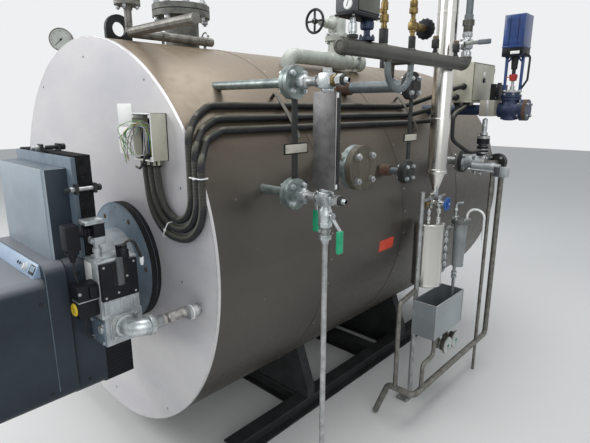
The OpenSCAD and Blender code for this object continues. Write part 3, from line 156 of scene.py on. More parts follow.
def makeFinish(name, tone, shade, patch, speck, speckTone, grain, rough, metal, bump,
               stretch=(1, 1, 1), gloss=.5, paintedTopLight=None, paintedTopLightFrom=.3):
    finish = bpy.data.materials.new(name)
    finish.use_nodes = True
    nodes, links = finish.node_tree.nodes, finish.node_tree.links
    shader = nodes["Principled BSDF"]
    coords = nodes.new("ShaderNodeTexCoord")
    mapping = nodes.new("ShaderNodeMapping")
    mapping.inputs["Scale"].default_value = stretch
    links.new(coords.outputs["Object"], mapping.inputs["Vector"])

    def noise(scale, detail, rough, vector):
        made = nodes.new("ShaderNodeTexNoise")
        made.inputs["Scale"].default_value = scale
        made.inputs["Detail"].default_value = detail
        made.inputs["Roughness"].default_value = rough
        links.new(vector, made.inputs["Vector"])
        return made.outputs["Fac"]

    def ramp(value, low, high):
        made = nodes.new("ShaderNodeMapRange")
        made.inputs["From Min"].default_value = low
        made.inputs["From Max"].default_value = high
        links.new(value, made.inputs["Value"])
        return made.outputs["Result"]

    def blendTone(amount, first, second):
        made = nodes.new("ShaderNodeMix")
        made.data_type = "RGBA"
        links.new(amount, made.inputs[0])
        for socket, tone in ((made.inputs[6], first), (made.inputs[7], second)):
            if isinstance(tone, tuple):
                socket.default_value = (*tone, 1)
            else:
                links.new(tone, socket)
        return made.outputs[2]

    patches = noise(patch, 5, .62, mapping.outputs["Vector"])
    worked = noise(grain, 4, .6, mapping.outputs["Vector"])
    tone = blendTone(ramp(patches, .38, .66), tone, shade)
    specks = noise(grain * .45, 6, .7, coords.outputs["Object"])
    if speckTone:
        tone = blendTone(ramp(specks, .7 - speck * .22, .8 - speck * .1), tone, speckTone)
    # painted light: faces that look up blend towards a lighter tone, as if lit from above
    if paintedTopLight:
        facing = nodes.new("ShaderNodeNewGeometry")
        split = nodes.new("ShaderNodeSeparateXYZ")
        links.new(facing.outputs["Normal"], split.inputs[0])
        tone = blendTone(ramp(split.outputs["Z"], paintedTopLightFrom, 1.15), tone, paintedTopLight)
    links.new(tone, shader.inputs["Base Color"])
    roughness = nodes.new("ShaderNodeMapRange")
    roughness.inputs["From Min"].default_value, roughness.inputs["From Max"].default_value = .3, .7
    roughness.inputs["To Min"].default_value, roughness.inputs["To Max"].default_value = rough
    links.new(specks, roughness.inputs["Value"])
    links.new(roughness.outputs["Result"], shader.inputs["Roughness"])
    shader.inputs["Metallic"].default_value = metal
    shader.inputs["Specular IOR Level"].default_value = gloss
    relief = nodes.new("ShaderNodeBump")
    relief.inputs["Strength"].default_value = bump
    relief.inputs["Distance"].default_value = .002
    links.new(worked, relief.inputs["Height"])
    links.new(relief.outputs["Normal"], shader.inputs["Normal"])
    return finish


finishes = {name: makeFinish(name, *row, **finishMore.get(name, {})) for name, row in finishValues.items()}
print("finishes ready", len(finishes))

nodeFinish = {
    "casingSheet": "casing",
    "coverSheet": "front_cover rear_cover",
    "zincPlate": "flue_outlet gauge_cocks drain_pipe header_valve header_lever sample_stand blowdown_valve",
    "basePaint": "base_beams base_crossbars saddles",
    "blackSteel": "lifting_lugs top_handwheel",
    "flangeBlue": "burner_flange",
    "gasketBlack": "burner_gasket",
    "castAlloy": "burner_neck gas_valve_body",
    "burnerDark": "burner_housing",
    "displayFilm": "display_panel",
    "burnerPale": "burner_hood",
    "plateGrey": "hinge_plate",
    "roughBlack": "rear_frame",
    "darkIron": "tie_bolts level_mark_bars probe_nozzles",
    "blackPlastic": "air_intake gas_valve_coils pressure_switches pressure_box feed_relay_box",
    "zincWhite": "gas_elbow",
    "stainless": "gas_hose riser sample_cooler",
    "boxCream": "junction_box control_box",
    "cableBlack": "cable_conduits",
    "clipSteel": "conduit_clips",
    "paleZinc": "gauge_nozzles",
    "gaugeSteel": "gauge_body",
    "gripGreen": "drain_lever cock_lever",
    "greyIron": "blank_nozzle steam_nozzle",
    "headerSteel": "instrument_header",
    "brassWorn": "brass_fittings",
    "paleCast": "top_valve",
    "dialPale": "dial_gauge",
    "agedSteel": "vent_pipe drain_pipework sampling_drains",
    "wheelBlue": "sample_handwheel",
    "vesselGrey": "cooling_vessel",
    "sheetZinc": "tundish",
    "discPale": "flow_discs",
    "valveBlue": "feed_valve",
    "claddingDull": "feed_cladding",
    "actuatorBlue": "feed_actuator",
}
for finishName, nodeNames in nodeFinish.items():
    for nodeName in nodeNames.split():
        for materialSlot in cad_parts[nodeName].material_slots:
            materialSlot.material = finishes[finishName]
print("nodes finished")

# making tools: every part that is painted or copied waits in this list until its piece is finished
parts = []
right, rear, up = Vector((1, 0, 0)), Vector((0, 1, 0)), Vector((0, 0, 1))
left, front, down = Vector((-1, 0, 0)), Vector((0, -1, 0)), Vector((0, 0, -1))


def applyModifiers(obj):
    for modifier in list(obj.modifiers):
        bpy.ops.object.modifier_apply(modifier=modifier.name)


def choose(obj):
    clearSelection()
    obj.select_set(True)
    bpy.context.view_layer.objects.active = obj


def soften(obj, width, segments=2, angle=35):
    choose(obj)
    bevel = obj.modifiers.new("edge", "BEVEL")
    bevel.width, bevel.segments = width / 1000, segments
    bevel.limit_method, bevel.angle_limit = "ANGLE", math.radians(angle)
    applyModifiers(obj)
    bpy.ops.object.mode_set(mode="EDIT")
    bpy.ops.mesh.select_all(action="SELECT")
    bpy.ops.mesh.remove_doubles(threshold=.000002)  # thin pieces leave empty faces at their rounded edges
    bpy.ops.object.mode_set(mode="OBJECT")


def bake(obj):
    choose(obj)
    bpy.ops.object.transform_apply(location=True, rotation=True, scale=True)
    return obj


def paint(obj, finishName, edge=0, segments=2):
    if edge:
        soften(obj, edge, segments)
    obj.data.materials.clear()
    obj.data.materials.append(finishes[finishName])
    parts.append(obj)
    return obj


def turned(centre, axis, steps, finishName="zincPlate", sides=28):  # steps: height, radius, height, radius ...
    clearSelection()
    heights, radii = steps[::2], steps[1::2]
    bpy.ops.mesh.primitive_circle_add(vertices=sides, radius=radii[0] / 1000, fill_type="NGON", location=(0, 0, 0))
    obj = bpy.context.object
    bpy.ops.object.mode_set(mode="EDIT")
    bpy.ops.mesh.select_all(action="SELECT")
    for k in range(1, len(radii)):
        bpy.ops.mesh.extrude_region_move(TRANSFORM_OT_translate={"value": (0, 0, (heights[k] - heights[k - 1]) / 1000)})
        ratio = radii[k] / radii[k - 1]
        if ratio != 1:
            bpy.ops.transform.resize(value=(ratio, ratio, 1), center_override=(0, 0, (heights[k] - heights[0]) / 1000))
    bpy.ops.mesh.select_all(action="SELECT")
    bpy.ops.mesh.remove_doubles(threshold=.000001)
    bpy.ops.mesh.normals_make_consistent(inside=False)
    bpy.ops.object.mode_set(mode="OBJECT")
    way = Vector(axis).normalized()
    foot = place(*(Vector(centre) + way * heights[0]))
    obj.matrix_world = Matrix.Translation(foot) @ way.to_track_quat("Z", "Y").to_matrix().to_4x4()
    return paint(bake(obj), finishName)


def beam(start, end, wide, thick, finishName, side=rear, edge=1):  # a flat bar, wide along side
    clearSelection()
    start, end, side = Vector(start), Vector(end), Vector(side)
    along = (end - start).normalized()
    across = (side - along * along.dot(side)).normalized()
    bpy.ops.mesh.primitive_cube_add(size=1, location=(0, 0, 0))
    obj = bpy.context.object
    obj.scale = (wide / 1000, thick / 1000, (end - start).length / 1000)
    bake(obj)
    turn = Matrix((across, along.cross(across), along)).transposed().to_4x4()
    obj.matrix_world = Matrix.Translation(place(*((start + end) / 2))) @ turn
    paint(bake(obj), finishName, edge)


def rod(start, way, length, radius, finishName, edge=0, sides=28, endRadius=None):  # a cone with an endRadius
    clearSelection()
    along = way * length
    seat = dict(vertices=sides, depth=length / 1000, location=place(*(Vector(start) + along / 2)),
                rotation=along.to_track_quat("Z", "Y").to_euler())
    if endRadius is None:
        bpy.ops.mesh.primitive_cylinder_add(radius=radius / 1000, **seat)
    else:
        bpy.ops.mesh.primitive_cone_add(radius1=radius / 1000, radius2=endRadius / 1000, **seat)
    paint(bake(bpy.context.object), finishName, edge)


def hexNut(start, way, length, across, finishName="zincPlate"):
    rod(start, way, length, across * .577, finishName, edge=.8, sides=6)


def block(low, high, finishName, edge=1, segments=2):  # between two opposite corners
    clearSelection()
    low, high = Vector(low), Vector(high)
    bpy.ops.mesh.primitive_cube_add(size=1, location=place(*((low + high) / 2)))
    obj = bpy.context.object
    obj.scale = (high - low) / 1000
    paint(bake(obj), finishName, edge, segments)


def ring(centre, axis, radius, thick, finishName, sides):
    clearSelection()
    bpy.ops.mesh.primitive_torus_add(location=place(*centre), rotation=axis.to_track_quat("Z", "Y").to_euler(),
                                     major_segments=sides, minor_segments=10, major_radius=radius / 1000,
                                     minor_radius=thick / 1000)
    paint(bake(bpy.context.object), finishName)


def joinParts(first=0):  # the parts made since that count become one
    clearSelection()
    for part in parts[first:]:
        part.select_set(True)
    bpy.context.view_layer.objects.active = parts[first]
    if len(parts) > first + 1:
        bpy.ops.object.join()
    del parts[first:]
    return bpy.context.object


def finishPiece(name, body="boiler", replaced=(), smooth=40):
    obj = joinParts()
    obj.name = name
    bpy.ops.object.shade_smooth_by_angle(angle=math.radians(smooth))
    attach(obj, body)
    if replaced:
        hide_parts(*replaced)


def copyTo(model, at, axis, spin=0):  # each copy has a mesh of its own
    clearSelection()
    twin = model.copy()
    twin.data = model.data.copy()
    bpy.context.collection.objects.link(twin)
    turn = Vector(axis).to_track_quat("Z", "Y").to_matrix().to_4x4()
    twin.matrix_world = Matrix.Translation(place(*at)) @ turn @ Matrix.Rotation(spin, 4, "Z")
    parts.append(bake(twin))


def dropModel(obj):
    if obj in parts:
        parts.remove(obj)
    bpy.data.objects.remove(obj, do_unlink=True)


def boltModel(across, finishName, stub):
    first = len(parts)
    home = Vector((0, -frontY * 1000, 0))  # place() brings this back to the origin
    rod(home, up, across * .12, across * .6, finishName, sides=14)
    rod(home + up * across * .12, up, across * .6, across * .56, finishName, edge=across * .05, sides=6)
    if stub:
        rod(home, up, across * .72 + stub, across * .27, finishName, sides=8)
    return joinParts(first)


def boltRing(centre, axis, pitchRadius, count, across, faces, finishName="zincPlate", stub=0):
    # faces: depth along the axis, and 1 or -1 for the way the heads look
    side = axis.cross(up if abs(axis.z) < .9 else right).normalized()
    other = axis.cross(side)
    model = boltModel(across, finishName, stub)
    for step in range(count):
        angle = (step + .5) * 2 * math.pi / count
        out = (side * math.cos(angle) + other * math.sin(angle)) * pitchRadius
        for depth, way in faces:
            copyTo(model, Vector(centre) + out + axis * depth, axis * way, random.random())
    dropModel(model)


def roundedRoute(points, radii, steps=8):
    points = [Vector(p) for p in points]
    made = [points[0]]
    for i in range(1, len(points) - 1):
        a, b, c = points[i - 1], points[i], points[i + 1]
        radius = radii[i - 1] if isinstance(radii, list) else radii
        u, w = (a - b).normalized(), (c - b).normalized()
        half = math.acos(max(-1, min(1, u.dot(w)))) / 2
        middle = b + (u + w).normalized() * radius / math.sin(half)
        first, last = b + u * radius / math.tan(half) - middle, b + w * radius / math.tan(half) - middle
        turn = math.pi - 2 * half
        for k in range(steps + 1):
            t = k / steps
            made.append(middle + (first * math.sin(turn * (1 - t)) + last * math.sin(turn * t)) / math.sin(turn))
    return made + [points[-1]]


def evenPoints(points, gap):
    points = [Vector(p) for p in points]
    lengths = [0]
    for a, b in zip(points, points[1:]):
        lengths.append(lengths[-1] + (b - a).length)
    count = max(2, int(lengths[-1] / gap))
    made, k = [], 0
    for step in range(count + 1):
        at = lengths[-1] * step / count
        while k < len(lengths) - 2 and lengths[k + 1] < at:
            k += 1
        span = lengths[k + 1] - lengths[k]
        made.append(points[k].lerp(points[k + 1], (at - lengths[k]) / span if span else 0))
    return made


def calmed(points, rounds):
    for step in range(rounds):
        inner = [(a + b * 2 + c) / 4 for a, b, c in zip(points[1:], points[2:-1], points[3:])]
        points = points[:2] + inner + points[-1:]
    return points


def tube(points, radius, finishName, rib=0, resolution=2):
    clearSelection()
    bpy.ops.curve.primitive_nurbs_path_add(location=(0, 0, 0))
    path = bpy.context.object
    path.data.splines.clear()
    spline = path.data.splines.new("POLY")
    spline.points.add(len(points) - 1)
    for k, (target, p) in enumerate(zip(spline.points, points)):
        target.co = (*place(*p), 1)
        target.radius = 1 - rib * (k % 2)
    path.data.dimensions = "3D"
    path.data.bevel_depth = radius / 1000
    path.data.bevel_resolution = resolution
    path.data.use_fill_caps = True
    bpy.ops.object.convert(target="MESH")
    paint(bpy.context.object, finishName)


# casing and cover
casingValues = {"radius": 900, "axis": 1080, "seams": (646, 1290, 1960), "seamWidth": 30, "rivets": 40, "rimThick": 4}
middle, casingR = casingValues["axis"], casingValues["radius"]


def roundCasing(angle, y, rise=0):
    turn = math.radians(angle)
    return ((casingR + rise) * math.cos(turn), y, middle + (casingR + rise) * math.sin(turn))


# pale metal rims round both cover edges: a real rim, painted brighter all round as a highlight of the lit edge
for y in (3.8, 2616.2):
    ring((0, y, middle), rear, casingR - .8, casingValues["rimThick"], "brightEdge", 180)
finishPiece("cover_rims")
for y in casingValues["seams"]:
    clearSelection()
    bpy.ops.mesh.primitive_cylinder_add(vertices=180, radius=(casingR + 1.2) / 1000,
        depth=casingValues["seamWidth"] / 1000, end_fill_type="NOTHING", location=place(0, y, middle),
        rotation=(math.pi / 2, 0, 0))
    band = bake(bpy.context.object)
    skin = band.modifiers.new("skin", "SOLIDIFY")
    skin.thickness, skin.offset = .0014, -1
    applyModifiers(band)
    paint(band, "casingSheet")
    rivet = turned((0, 0, 0), up, (0, 4.2, .9, 4, 1.7, 2.8, 2.1, 1.2), "zincPlate", 10)
    rivet.data.transform(Matrix.Translation(-place(0, 0, 0)))
    for step in range(casingValues["rivets"]):
        angle = -68 + step * 316 / casingValues["rivets"]
        at = Vector(roundCasing(angle, y + 8, 1.1))
        copyTo(rivet, at, at - Vector((0, y + 8, middle)))
    dropModel(rivet)
finishPiece("casing_seams", smooth=30)
screwValues = {"cover": ((703, 1394), (675, 1021), (-703, 1394), (-675, 1021), (0, 1900), (0, 260), (498, 372),
    (-498, 372), (500, 1785), (-500, 1785)), "sticker": (1060, 1197, 939, 1003)}
for x, z in screwValues["cover"]:
    turned((x, 0, z), front, (-.5, 5.4, .6, 5.4, .6, 4.2, 1.9, 3.8, 2.4, 2.2), "paleZinc", 16)
finishPiece("cover_screws")
y0, y1, z0, z1 = screwValues["sticker"]
clearSelection()
bpy.ops.mesh.primitive_grid_add(x_subdivisions=16, y_subdivisions=12, size=1,
    location=place(915, (y0 + y1) / 2, (z0 + z1) / 2), rotation=(0, math.pi / 2, 0))
sticker = bpy.context.object
sticker.scale = ((z1 - z0) / 1000, (y1 - y0) / 1000, 1)
bake(sticker)
wrap = sticker.modifiers.new("wrap", "SHRINKWRAP")
wrap.target, wrap.offset, wrap.wrap_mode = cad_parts["casing"], .0007, "ABOVE_SURFACE"
skin = sticker.modifiers.new("skin", "SOLIDIFY")
skin.thickness = .0004
applyModifiers(sticker)
paint(sticker, "stickerOrange")
finishPiece("blank_sticker")
block((277, -1.6, 1615), (394, .4, 1697), "labelWhite", .4)
block((268, -1.6, 1494), (366, .4, 1604), "labelWhite", .4)
finishPiece("bare_labels")
print("casing done")

# burner: hood faces, plate, flange, screws
burnerValues = {"x": 271, "z": 1030, "flangeR": 257, "screwPitch": 214, "screws": 6}
bx, bz, flangeR = (burnerValues[k] for k in ("x", "z", "flangeR"))
rod((bx, -44, bz), rear, 25.4, flangeR + .9, "gasketBlack", sides=96, edge=1.2)
rod((bx, -17.6, bz), rear, 17.2, flangeR - .4, "gasketBlack", sides=96, edge=1.2)
ring((bx, -45, bz), rear, flangeR - 4.5, 1, "plateGrey", 96)
finishPiece("flange_edge")
for step in range(burnerValues["screws"]):
    angle = math.radians(62 + step * 360 / burnerValues["screws"])
    at = (bx + burnerValues["screwPitch"] * math.cos(angle), -45, bz + burnerValues["screwPitch"] * math.sin(angle))
    turned(at, front, (-.4, 10.5, .5, 10.5, .6, 8.6, 2.2, 7.8), "rustCollar", 20)
    turned(at, front, (0, 6.2, 3.6, 5.8, 3.6, 3.2, 1.2, 3), "brassWorn", 16)
for x, z in ((-60, 205), (-10, 236), (60, 190), (-120, 150), (130, 118)):
    turned((bx + x, -45, bz + z), front, (-.3, 3.2, .5, 3), "gasketBlack", 12)
finishPiece("flange_screws")
hoodL, hoodR, hoodF, hoodB = bx - 227, bx + 227, -398, -316
for x0, x1 in ((hoodR - .6, hoodR + 1), (hoodL - 1, hoodL + .6)):
    block((x0, hoodF + 9, 1166), (x1, hoodB, 1479), "burnerDark", .5)
finishPiece("hood_sides")
block((hoodL + 6, hoodF - 1.4, 1168), (hoodR - 6, hoodF + 1, 1477), "burnerPale", 1.2)
block((hoodL + 4, hoodF + 4, 1479), (hoodR - 4, hoodB - 2, 1481.2), "plateGrey", .8)
block((bx - 269.5, -317.2, 1166), (bx + 269.5, -315.6, 1517.4), "hingeBlue", .5)
for x in (bx + 269, bx - 269):
    block((x - .8, -317, 1166), (x + .8, -301.5, 1517.4), "plateGrey", .5)
finishPiece("hood_faces")

# the rough black frame: layered sheets with a crumpled seal between them
clearSelection()
bpy.ops.mesh.primitive_cube_add(size=1, location=place(bx, -275, 1345))
seal = bpy.context.object
seal.scale = (.5375, .05, .356)
bake(seal)
bpy.ops.object.mode_set(mode="EDIT")
bpy.ops.mesh.select_all(action="SELECT")
bpy.ops.mesh.subdivide(number_cuts=40)
bpy.ops.object.mode_set(mode="OBJECT")
soften(seal, 3, 2, 60)
crumple = bpy.data.textures.new("crumple", "CLOUDS")
crumple.noise_scale = .018
push = seal.modifiers.new("push", "DISPLACE")
push.texture, push.strength, push.mid_level, push.texture_coords = crumple, .0055, .62, "LOCAL"
applyModifiers(seal)
paint(seal, "roughBlack")
for z in (1517.5, 1522.5):
    block((bx - 262, -301, z - 1.5), (bx + 262, -250, z), "blackSteel", .6)
finishPiece("frame_seal", smooth=30)

# housing seam line and a pale edge line that is partly painted highlight, display strip, screws, louvred intake
# the pale line round the housing's outline is its edge lip, painted lighter as a highlight; the dark line is the seam
# gap
tube(roundedRoute([(-9, -445, 700), (-9, -445, 1166), (551, -445, 1166), (551, -445, 700)], 43, 10), 2, "plateGrey")
tube(roundedRoute([(-9, -377, 700), (-9, -377, 1166), (551, -377, 1166), (551, -377, 700)], 43, 10), 1.6,
    "gasketBlack")
finishPiece("housing_seam_and_edge_highlight")
slope = Vector((0, -25, -47)).normalized()
out = Vector((0, -47, 25)).normalized()


def onStrip(x, down, rise):
    return Vector((x, -445, 1165)) + slope * down + out * rise


beam(onStrip(36, 27, .4), onStrip(506, 27, .4), 51, 2.4, "displayFilm", side=slope, edge=.8)
beam(onStrip(452, 27, 1.6), onStrip(500, 27, 1.6), 34, 2.4, "glassDark", side=slope, edge=.8)
beam(onStrip(458, 24, 2.4), onStrip(494, 24, 2.4), 20, 1.6, "screenGlow", side=slope, edge=.4)
turned(onStrip(415, 28, 1), out, (0, 15, 2, 15, 2, 12, 12, 10.5, 13, 8), "tieWhite", 32)
beam(onStrip(415, 20, 14), onStrip(415, 34, 14), 3, 1.6, "blackPlastic", side=right, edge=.3)
for step in range(3):
    turned(onStrip(380 - 22 * step, 28, 1), out, (0, 6, 2.4, 5.4, 3, 4), "blackPlastic", 20)
finishPiece("display_controls")
for y, z in ((-760, 700), (-760, 1060), (-470, 700), (-470, 1040), (-330, 690), (-330, 1110)):
    x = 550 if y < -400 else 530
    for at, way in (((x, y, z), right), ((2 * bx - x, y, z), left)):
        turned(at, way, (-.4, 7, .8, 7, 1, 5.5, 2.6, 5, 3.2, 3), "blackSteel", 18)
for step in range(13):
    z = 648 + step * 14.5
    beam((44, -202, z), (498, -202, z), 124, 2.6, "blackPlastic", side=(0, 1, .22), edge=.6)
    block((495, -262, z - 2), (501.5, -142, z + 5), "blackPlastic", .8)
finishPiece("intake_slats")

# tie bolts
tieValues = {"side": 282, "z": 1411, "top": 1536, "radius": 7.4}
tz, tt, tr = (tieValues[k] for k in ("z", "top", "radius"))
for x in (bx - tieValues["side"], bx + tieValues["side"]):
    hexNut((x, -334, tz), rear, 12, 18)
    rod((x, -350, tz), rear, 28, tr, "darkIron", sides=24)
    rod((x, -322, tz), rear, 78, tr, "zincPlate", sides=24)
    hexNut((x, -240, tz), rear, 12, 21, "blackSteel")
hexNut((bx, -334, tt), rear, 12, 18)
rod((bx, -346, tt), rear, 46, tr, "zincPlate", sides=24)
rod((bx, -300, tt), rear, 62, tr, "blackSteel", sides=24)
hexNut((bx, -240, tt), rear, 14, 21, "blackSteel")
finishPiece("tie_nuts")
print("burner done")

# gas valve: cast body, black cover, plug, switches
valveValues = {"left": 532, "right": 640, "front": -306, "rear": -158, "fins": 7}
vl, vr, vf, vb = (valveValues[k] for k in ("left", "right", "front", "rear"))
block((vl + 2, vf - 1.6, 976), (vl + 60, vf + 1, 1154), "tieWhite")
block((vl + 62, vf - 2.6, 966), (vr + 1, vf + 2, 1160), "castAlloy", 2)
block((vl - 1, vf - 3, 955), (vr + 3, vb - 4, 967), "castAlloy", 2)
block((vl + 1, vf - 2, 1156), (vr + 2, vb - 4, 1167), "castAlloy", 3)
block((vl + 60, vf + 6, 968), (vr + 9, vb - 16, 1023), "castAlloy", 3)
block((vr - 2, -284, 868), (vr + 8, -180, 962), "castAlloy", 3)
block((vr + 7, -281, 871), (vr + 12.2, -183, 959), "zincPlate", 2)
block((vl + 4, vf + 1, 849), (vr - 4, vf + 7, 940), "hingeBlue", 2)
for step in range(valveValues["fins"]):
    block((vl + 34 + 9 * step, vf + 12, 1166), (vl + 38 + 9 * step, vf + 84, 1178), "castAlloy")
for step in range(5):
    block((vr + 8, vf + 14 + 25 * step, 972), (vr + 12, vf + 22 + 25 * step, 1019), "castAlloy", 1.2)
turned((vr - 12, -246, 1018), up, (0, 9, 7, 9, 9, 7, 9.5, 4), "tieWhite", 24)
for y in (-274, -190):
    for z in (879, 951):
        hexNut((vr + 12, y, z), right, 11, 15, "zincWhite")
        rod((vr + 20, y, z), right, 7, 4.4, "zincPlate", sides=16)
for x in (vl + 14, vr - 12):
    for z in (862, 930):
        hexNut((x, vf - 5, z), rear, 9, 13)
turned((vr - 24, vf + 5, 912), front, (0, 19, 5, 19, 6, 15, 11, 14, 12, 10), "castAlloy", 32)
finishPiece("valve_castings")
block((vr - 1, vf + 1, 1024), (vr + 14.8, vb - 11, 1159), "blackPlastic", 2.5)
block((vr + 14, vf + 46, 1074), (vr + 15.6, vf + 96, 1150), "glassDark", .8)
block((vr + 15, -250, 1074), (vr + 27, -226, 1176), "switchGrey", 3)
turned((vr + 10, -214, 1150), up, (0, 15, 16, 15, 18, 18, 44, 18, 50, 13, 52, 9), "blackPlastic")
tube(roundedRoute([(vr + 10, -214, 1198), (vr + 10, -214, 1226), (vr + 14, -176, 1226), (vr + 14, -150, 1150)], 26),
    5.5, "cableBlack")
turned((vr + 14, -150, 1155), down, (0, 8, 20, 8, 22, 6, 30, 5), "tieWhite", 20)
for y, z in ((vf + 14, 1148), (vb - 24, 1148), (vf + 14, 1036), (vb - 24, 1036), (vf + 60, 1046), (vf + 96, 1100)):
    turned((vr + 14.6, y, z), right, (0, 4.4, 1.4, 4.2, 2, 3), "zincPlate", 14)
finishPiece("coil_cover")
block((588, -396, 1222), (638, -351, 1308), "blackPlastic", 3)
block((594, -392, 1208), (632, -356, 1222), "blackPlastic", 2)
turned((613, -373, 1208), down, (0, 14, 14, 13, 15, 10, 28, 9, 30, 5), "blackPlastic", 24)
tube(evenPoints(((613, -373, 1182), (613, -372, 1140), (606, -362, 1092)), 12), 3.2,
    "cableBlack")
turned((606, -361, 1094), (0, .1, -1), (0, 5, 16, 5, 18, 3), "tieWhite", 14)
block((590, -334, 1300), (642, -268, 1317), "zincWhite", 4)
block((588, -308, 1228), (643, -267, 1256), "castAlloy", 4)
block((591, -307, 1257), (644, -268, 1301), "blackPlastic", 3)
turned((622, -307, 1242), front, (0, 12, 4, 12, 5, 9, 7, 8.5), "zincWhite")
turned((610, -288, 1166), up, (0, 20, 8, 20, 10, 13, 30, 12.5, 31, 15, 46, 15, 47, 11, 64, 11), "castAlloy")
rod((614, -352, 1276), rear, 46, 16, "blackPlastic", edge=2)
for y in (-334, -322):
    hexNut((614, y, 1276), rear, 6, 38, "blackPlastic")
finishPiece("upper_switches")
block((576, -380, 1042), (632, -306, 1094), "blackPlastic", 3)
block((580, -380, 977), (628, -306, 1034), "blackPlastic", 3)
block((578, -379, 1034), (630, -305, 1041), "zincPlate")
block((632, -340, 1044), (640, -306, 1088), "blackPlastic", 2)
turned((597, -380, 1006), front, (-.5, 23, 2, 23, 3, 21, 5.5, 20), "yellowPlastic", 40)
turned((618, -372, 1068), right, (10, 6, 16, 5.6, 17, 3), "zincPlate", 16)
tube(evenPoints(((604, -350, 977), (600, -350, 944), (584, -352, 900), (566, -330, 870),
    (552, -309, 862)), 14), 3.2, "cableBlack")
finishPiece("lower_switches")

# elbow beads and the armoured hose
hoseValues = {"start": (715, -163, 915), "end": (789, -28, 945), "radius": 21.4, "pitch": 3.4, "rib": .055}
hs, he = Vector(hoseValues["start"]), Vector(hoseValues["end"])
route = roundedRoute([hs, hs + Vector((0, 65, 0)), hs + Vector((40, 111, 22)), he], 30)
tube(evenPoints(route, hoseValues["pitch"] / 2), hoseValues["radius"], "braidSteel", hoseValues["rib"], resolution=5)
hexNut(hs + front, rear, 21, 44)
turned(hs, rear, (19, 23, 40, 23, 42, 21.8), "zincPlate", 40)
turned(he + front * 14, rear, (-16, 22.5, -16, 24.6, 10, 24.6, 12, 26, 24, 26, 26, 22), "zincPlate", 40)
ring(he + front * 16, rear, 25.5, 2.4, "tieWhite", 48)
turned(he + rear * 12, rear, (0, 19, 7, 19, 7, 12, 15.8, 12), "zincPlate", 24)
finishPiece("armoured_hose", replaced=("gas_hose",))
turned((660, -232, 915), right, (-9, 40, 0, 40, 1.5, 37, 1.5, 34), "zincWhite", 40)
turned(hs + front * 14, rear, (-3, 34.5, -1, 38.6, 3, 39.2, 12, 39.2, 14, 37, 14.2, 30), "zincWhite", 40)
finishPiece("elbow_beads")
print("gas train done")

# junction box: lip, terminals, wires, glands
boxValues = {"x": 508, "wide": 130, "z": 1492, "high": 168, "deep": 66, "wires": 15, "lip": 2.2}
jx, jw, jz, jh, jd = (boxValues[k] for k in ("x", "wide", "z", "high", "deep"))
corners = [(jx, -jd, jz), (jx + jw, -jd, jz), (jx + jw, -jd, jz + jh), (jx, -jd, jz + jh)]
for a, b in zip(corners, corners[1:] + corners[:1]):
    tube([Vector(a), (Vector(a) + Vector(b)) / 2, Vector(b)], boxValues["lip"], "tieWhite")
block((jx - 1.4, -3.2, jz - 1.4), (jx + jw + 1.4, .2, jz + jh + 1.4), "gasketBlack", .5)
block((jx + jw - .6, -jd + 3, jz + 2), (jx + jw + .7, -6, jz + jh - 2), "boxCream", .5)
for x in (jx + 9, jx + jw - 9):
    for z in (jz + 10, jz + jh - 10):
        turned((x, -jd, z), front, (-40, 5.4, 1.2, 5.4, 1.2, 2.6, -6, 2.2), "tieWhite", 18)
block((jx + 12, -20, 1560), (jx + jw - 14, -14, 1595), "zincPlate", .6)
for step in range(9):
    block((jx + 15 + 11 * step, -34, 1562), (jx + 24.5 + 11 * step, -18, 1593),
        "terminalGrey" if step % 3 else "wireBlue")
for step in range(3):
    x = jx + 17 + 40 * step
    hexNut((x, -33, 1474), up, 17.6, 34, "blackPlastic")
    rod((x, -33, 1468), up, 7, 18.4, "blackPlastic", edge=2)
    rod((x, -33, 1495.4), up, 7.6, 17, "blackPlastic", edge=1.5)
finishPiece("box_fittings")
wireTones = ("tieWhite", "wireGreen", "terminalGrey", "cableBlack", "wireYellow", "wireBrown", "tieWhite", "wireBlue",
    "paleGreen")
for step in range(boxValues["wires"]):
    start = Vector((jx + 17 + 40 * (step % 3) + draw(-8, 8), -33 + draw(-6, 6), 1504))
    high = Vector((jx + draw(30, 104), -draw(44, 60), 1604 + draw(0, 34)))
    outer = Vector((jx + draw(-34, 70), -draw(76, 112), 1585 + draw(-15, 30)))
    last = Vector((jx + draw(-48, 60), -draw(72, 98), 1500 + draw(-20, 60)))
    knots = [start, start.lerp(high, .5) + Vector((0, 4, 12)), high, (high + outer) / 2 + Vector((0, -4, 16)), outer,
        outer.lerp(last, .55) + Vector((-10, -4, 4)), last]
    line = []
    for k in range(len(knots) - 1):
        p0, p1, p2, p3 = knots[max(k - 1, 0)], knots[k], knots[k + 1], knots[min(k + 2, len(knots) - 1)]
        for q in range(6):
            s = q / 6
            bend, twist = 2 * p0 - 5 * p1 + 4 * p2 - p3, 3 * p1 - p0 - 3 * p2 + p3
            line.append(.5 * (2 * p1 + (p2 - p0) * s + bend * s * s + twist * s ** 3))
    line.append(knots[-1])
    tube(line, 1.4, wireTones[step % len(wireTones)], resolution=1)
    tube([line[-1], line[-1] + (line[-1] - line[-2]).normalized() * 7], .8, "brassWorn", resolution=1)
tube(roundedRoute([(jx + 84, -40, 1502), (jx + 98, -74, 1520), (jx + 96, -84, 1490), (jx + 60, -80, 1462),
    (jx + 20, -74, 1466)], 14), 4.2, "cableBlack")
finishPiece("loose_wires")
print("junction box done")

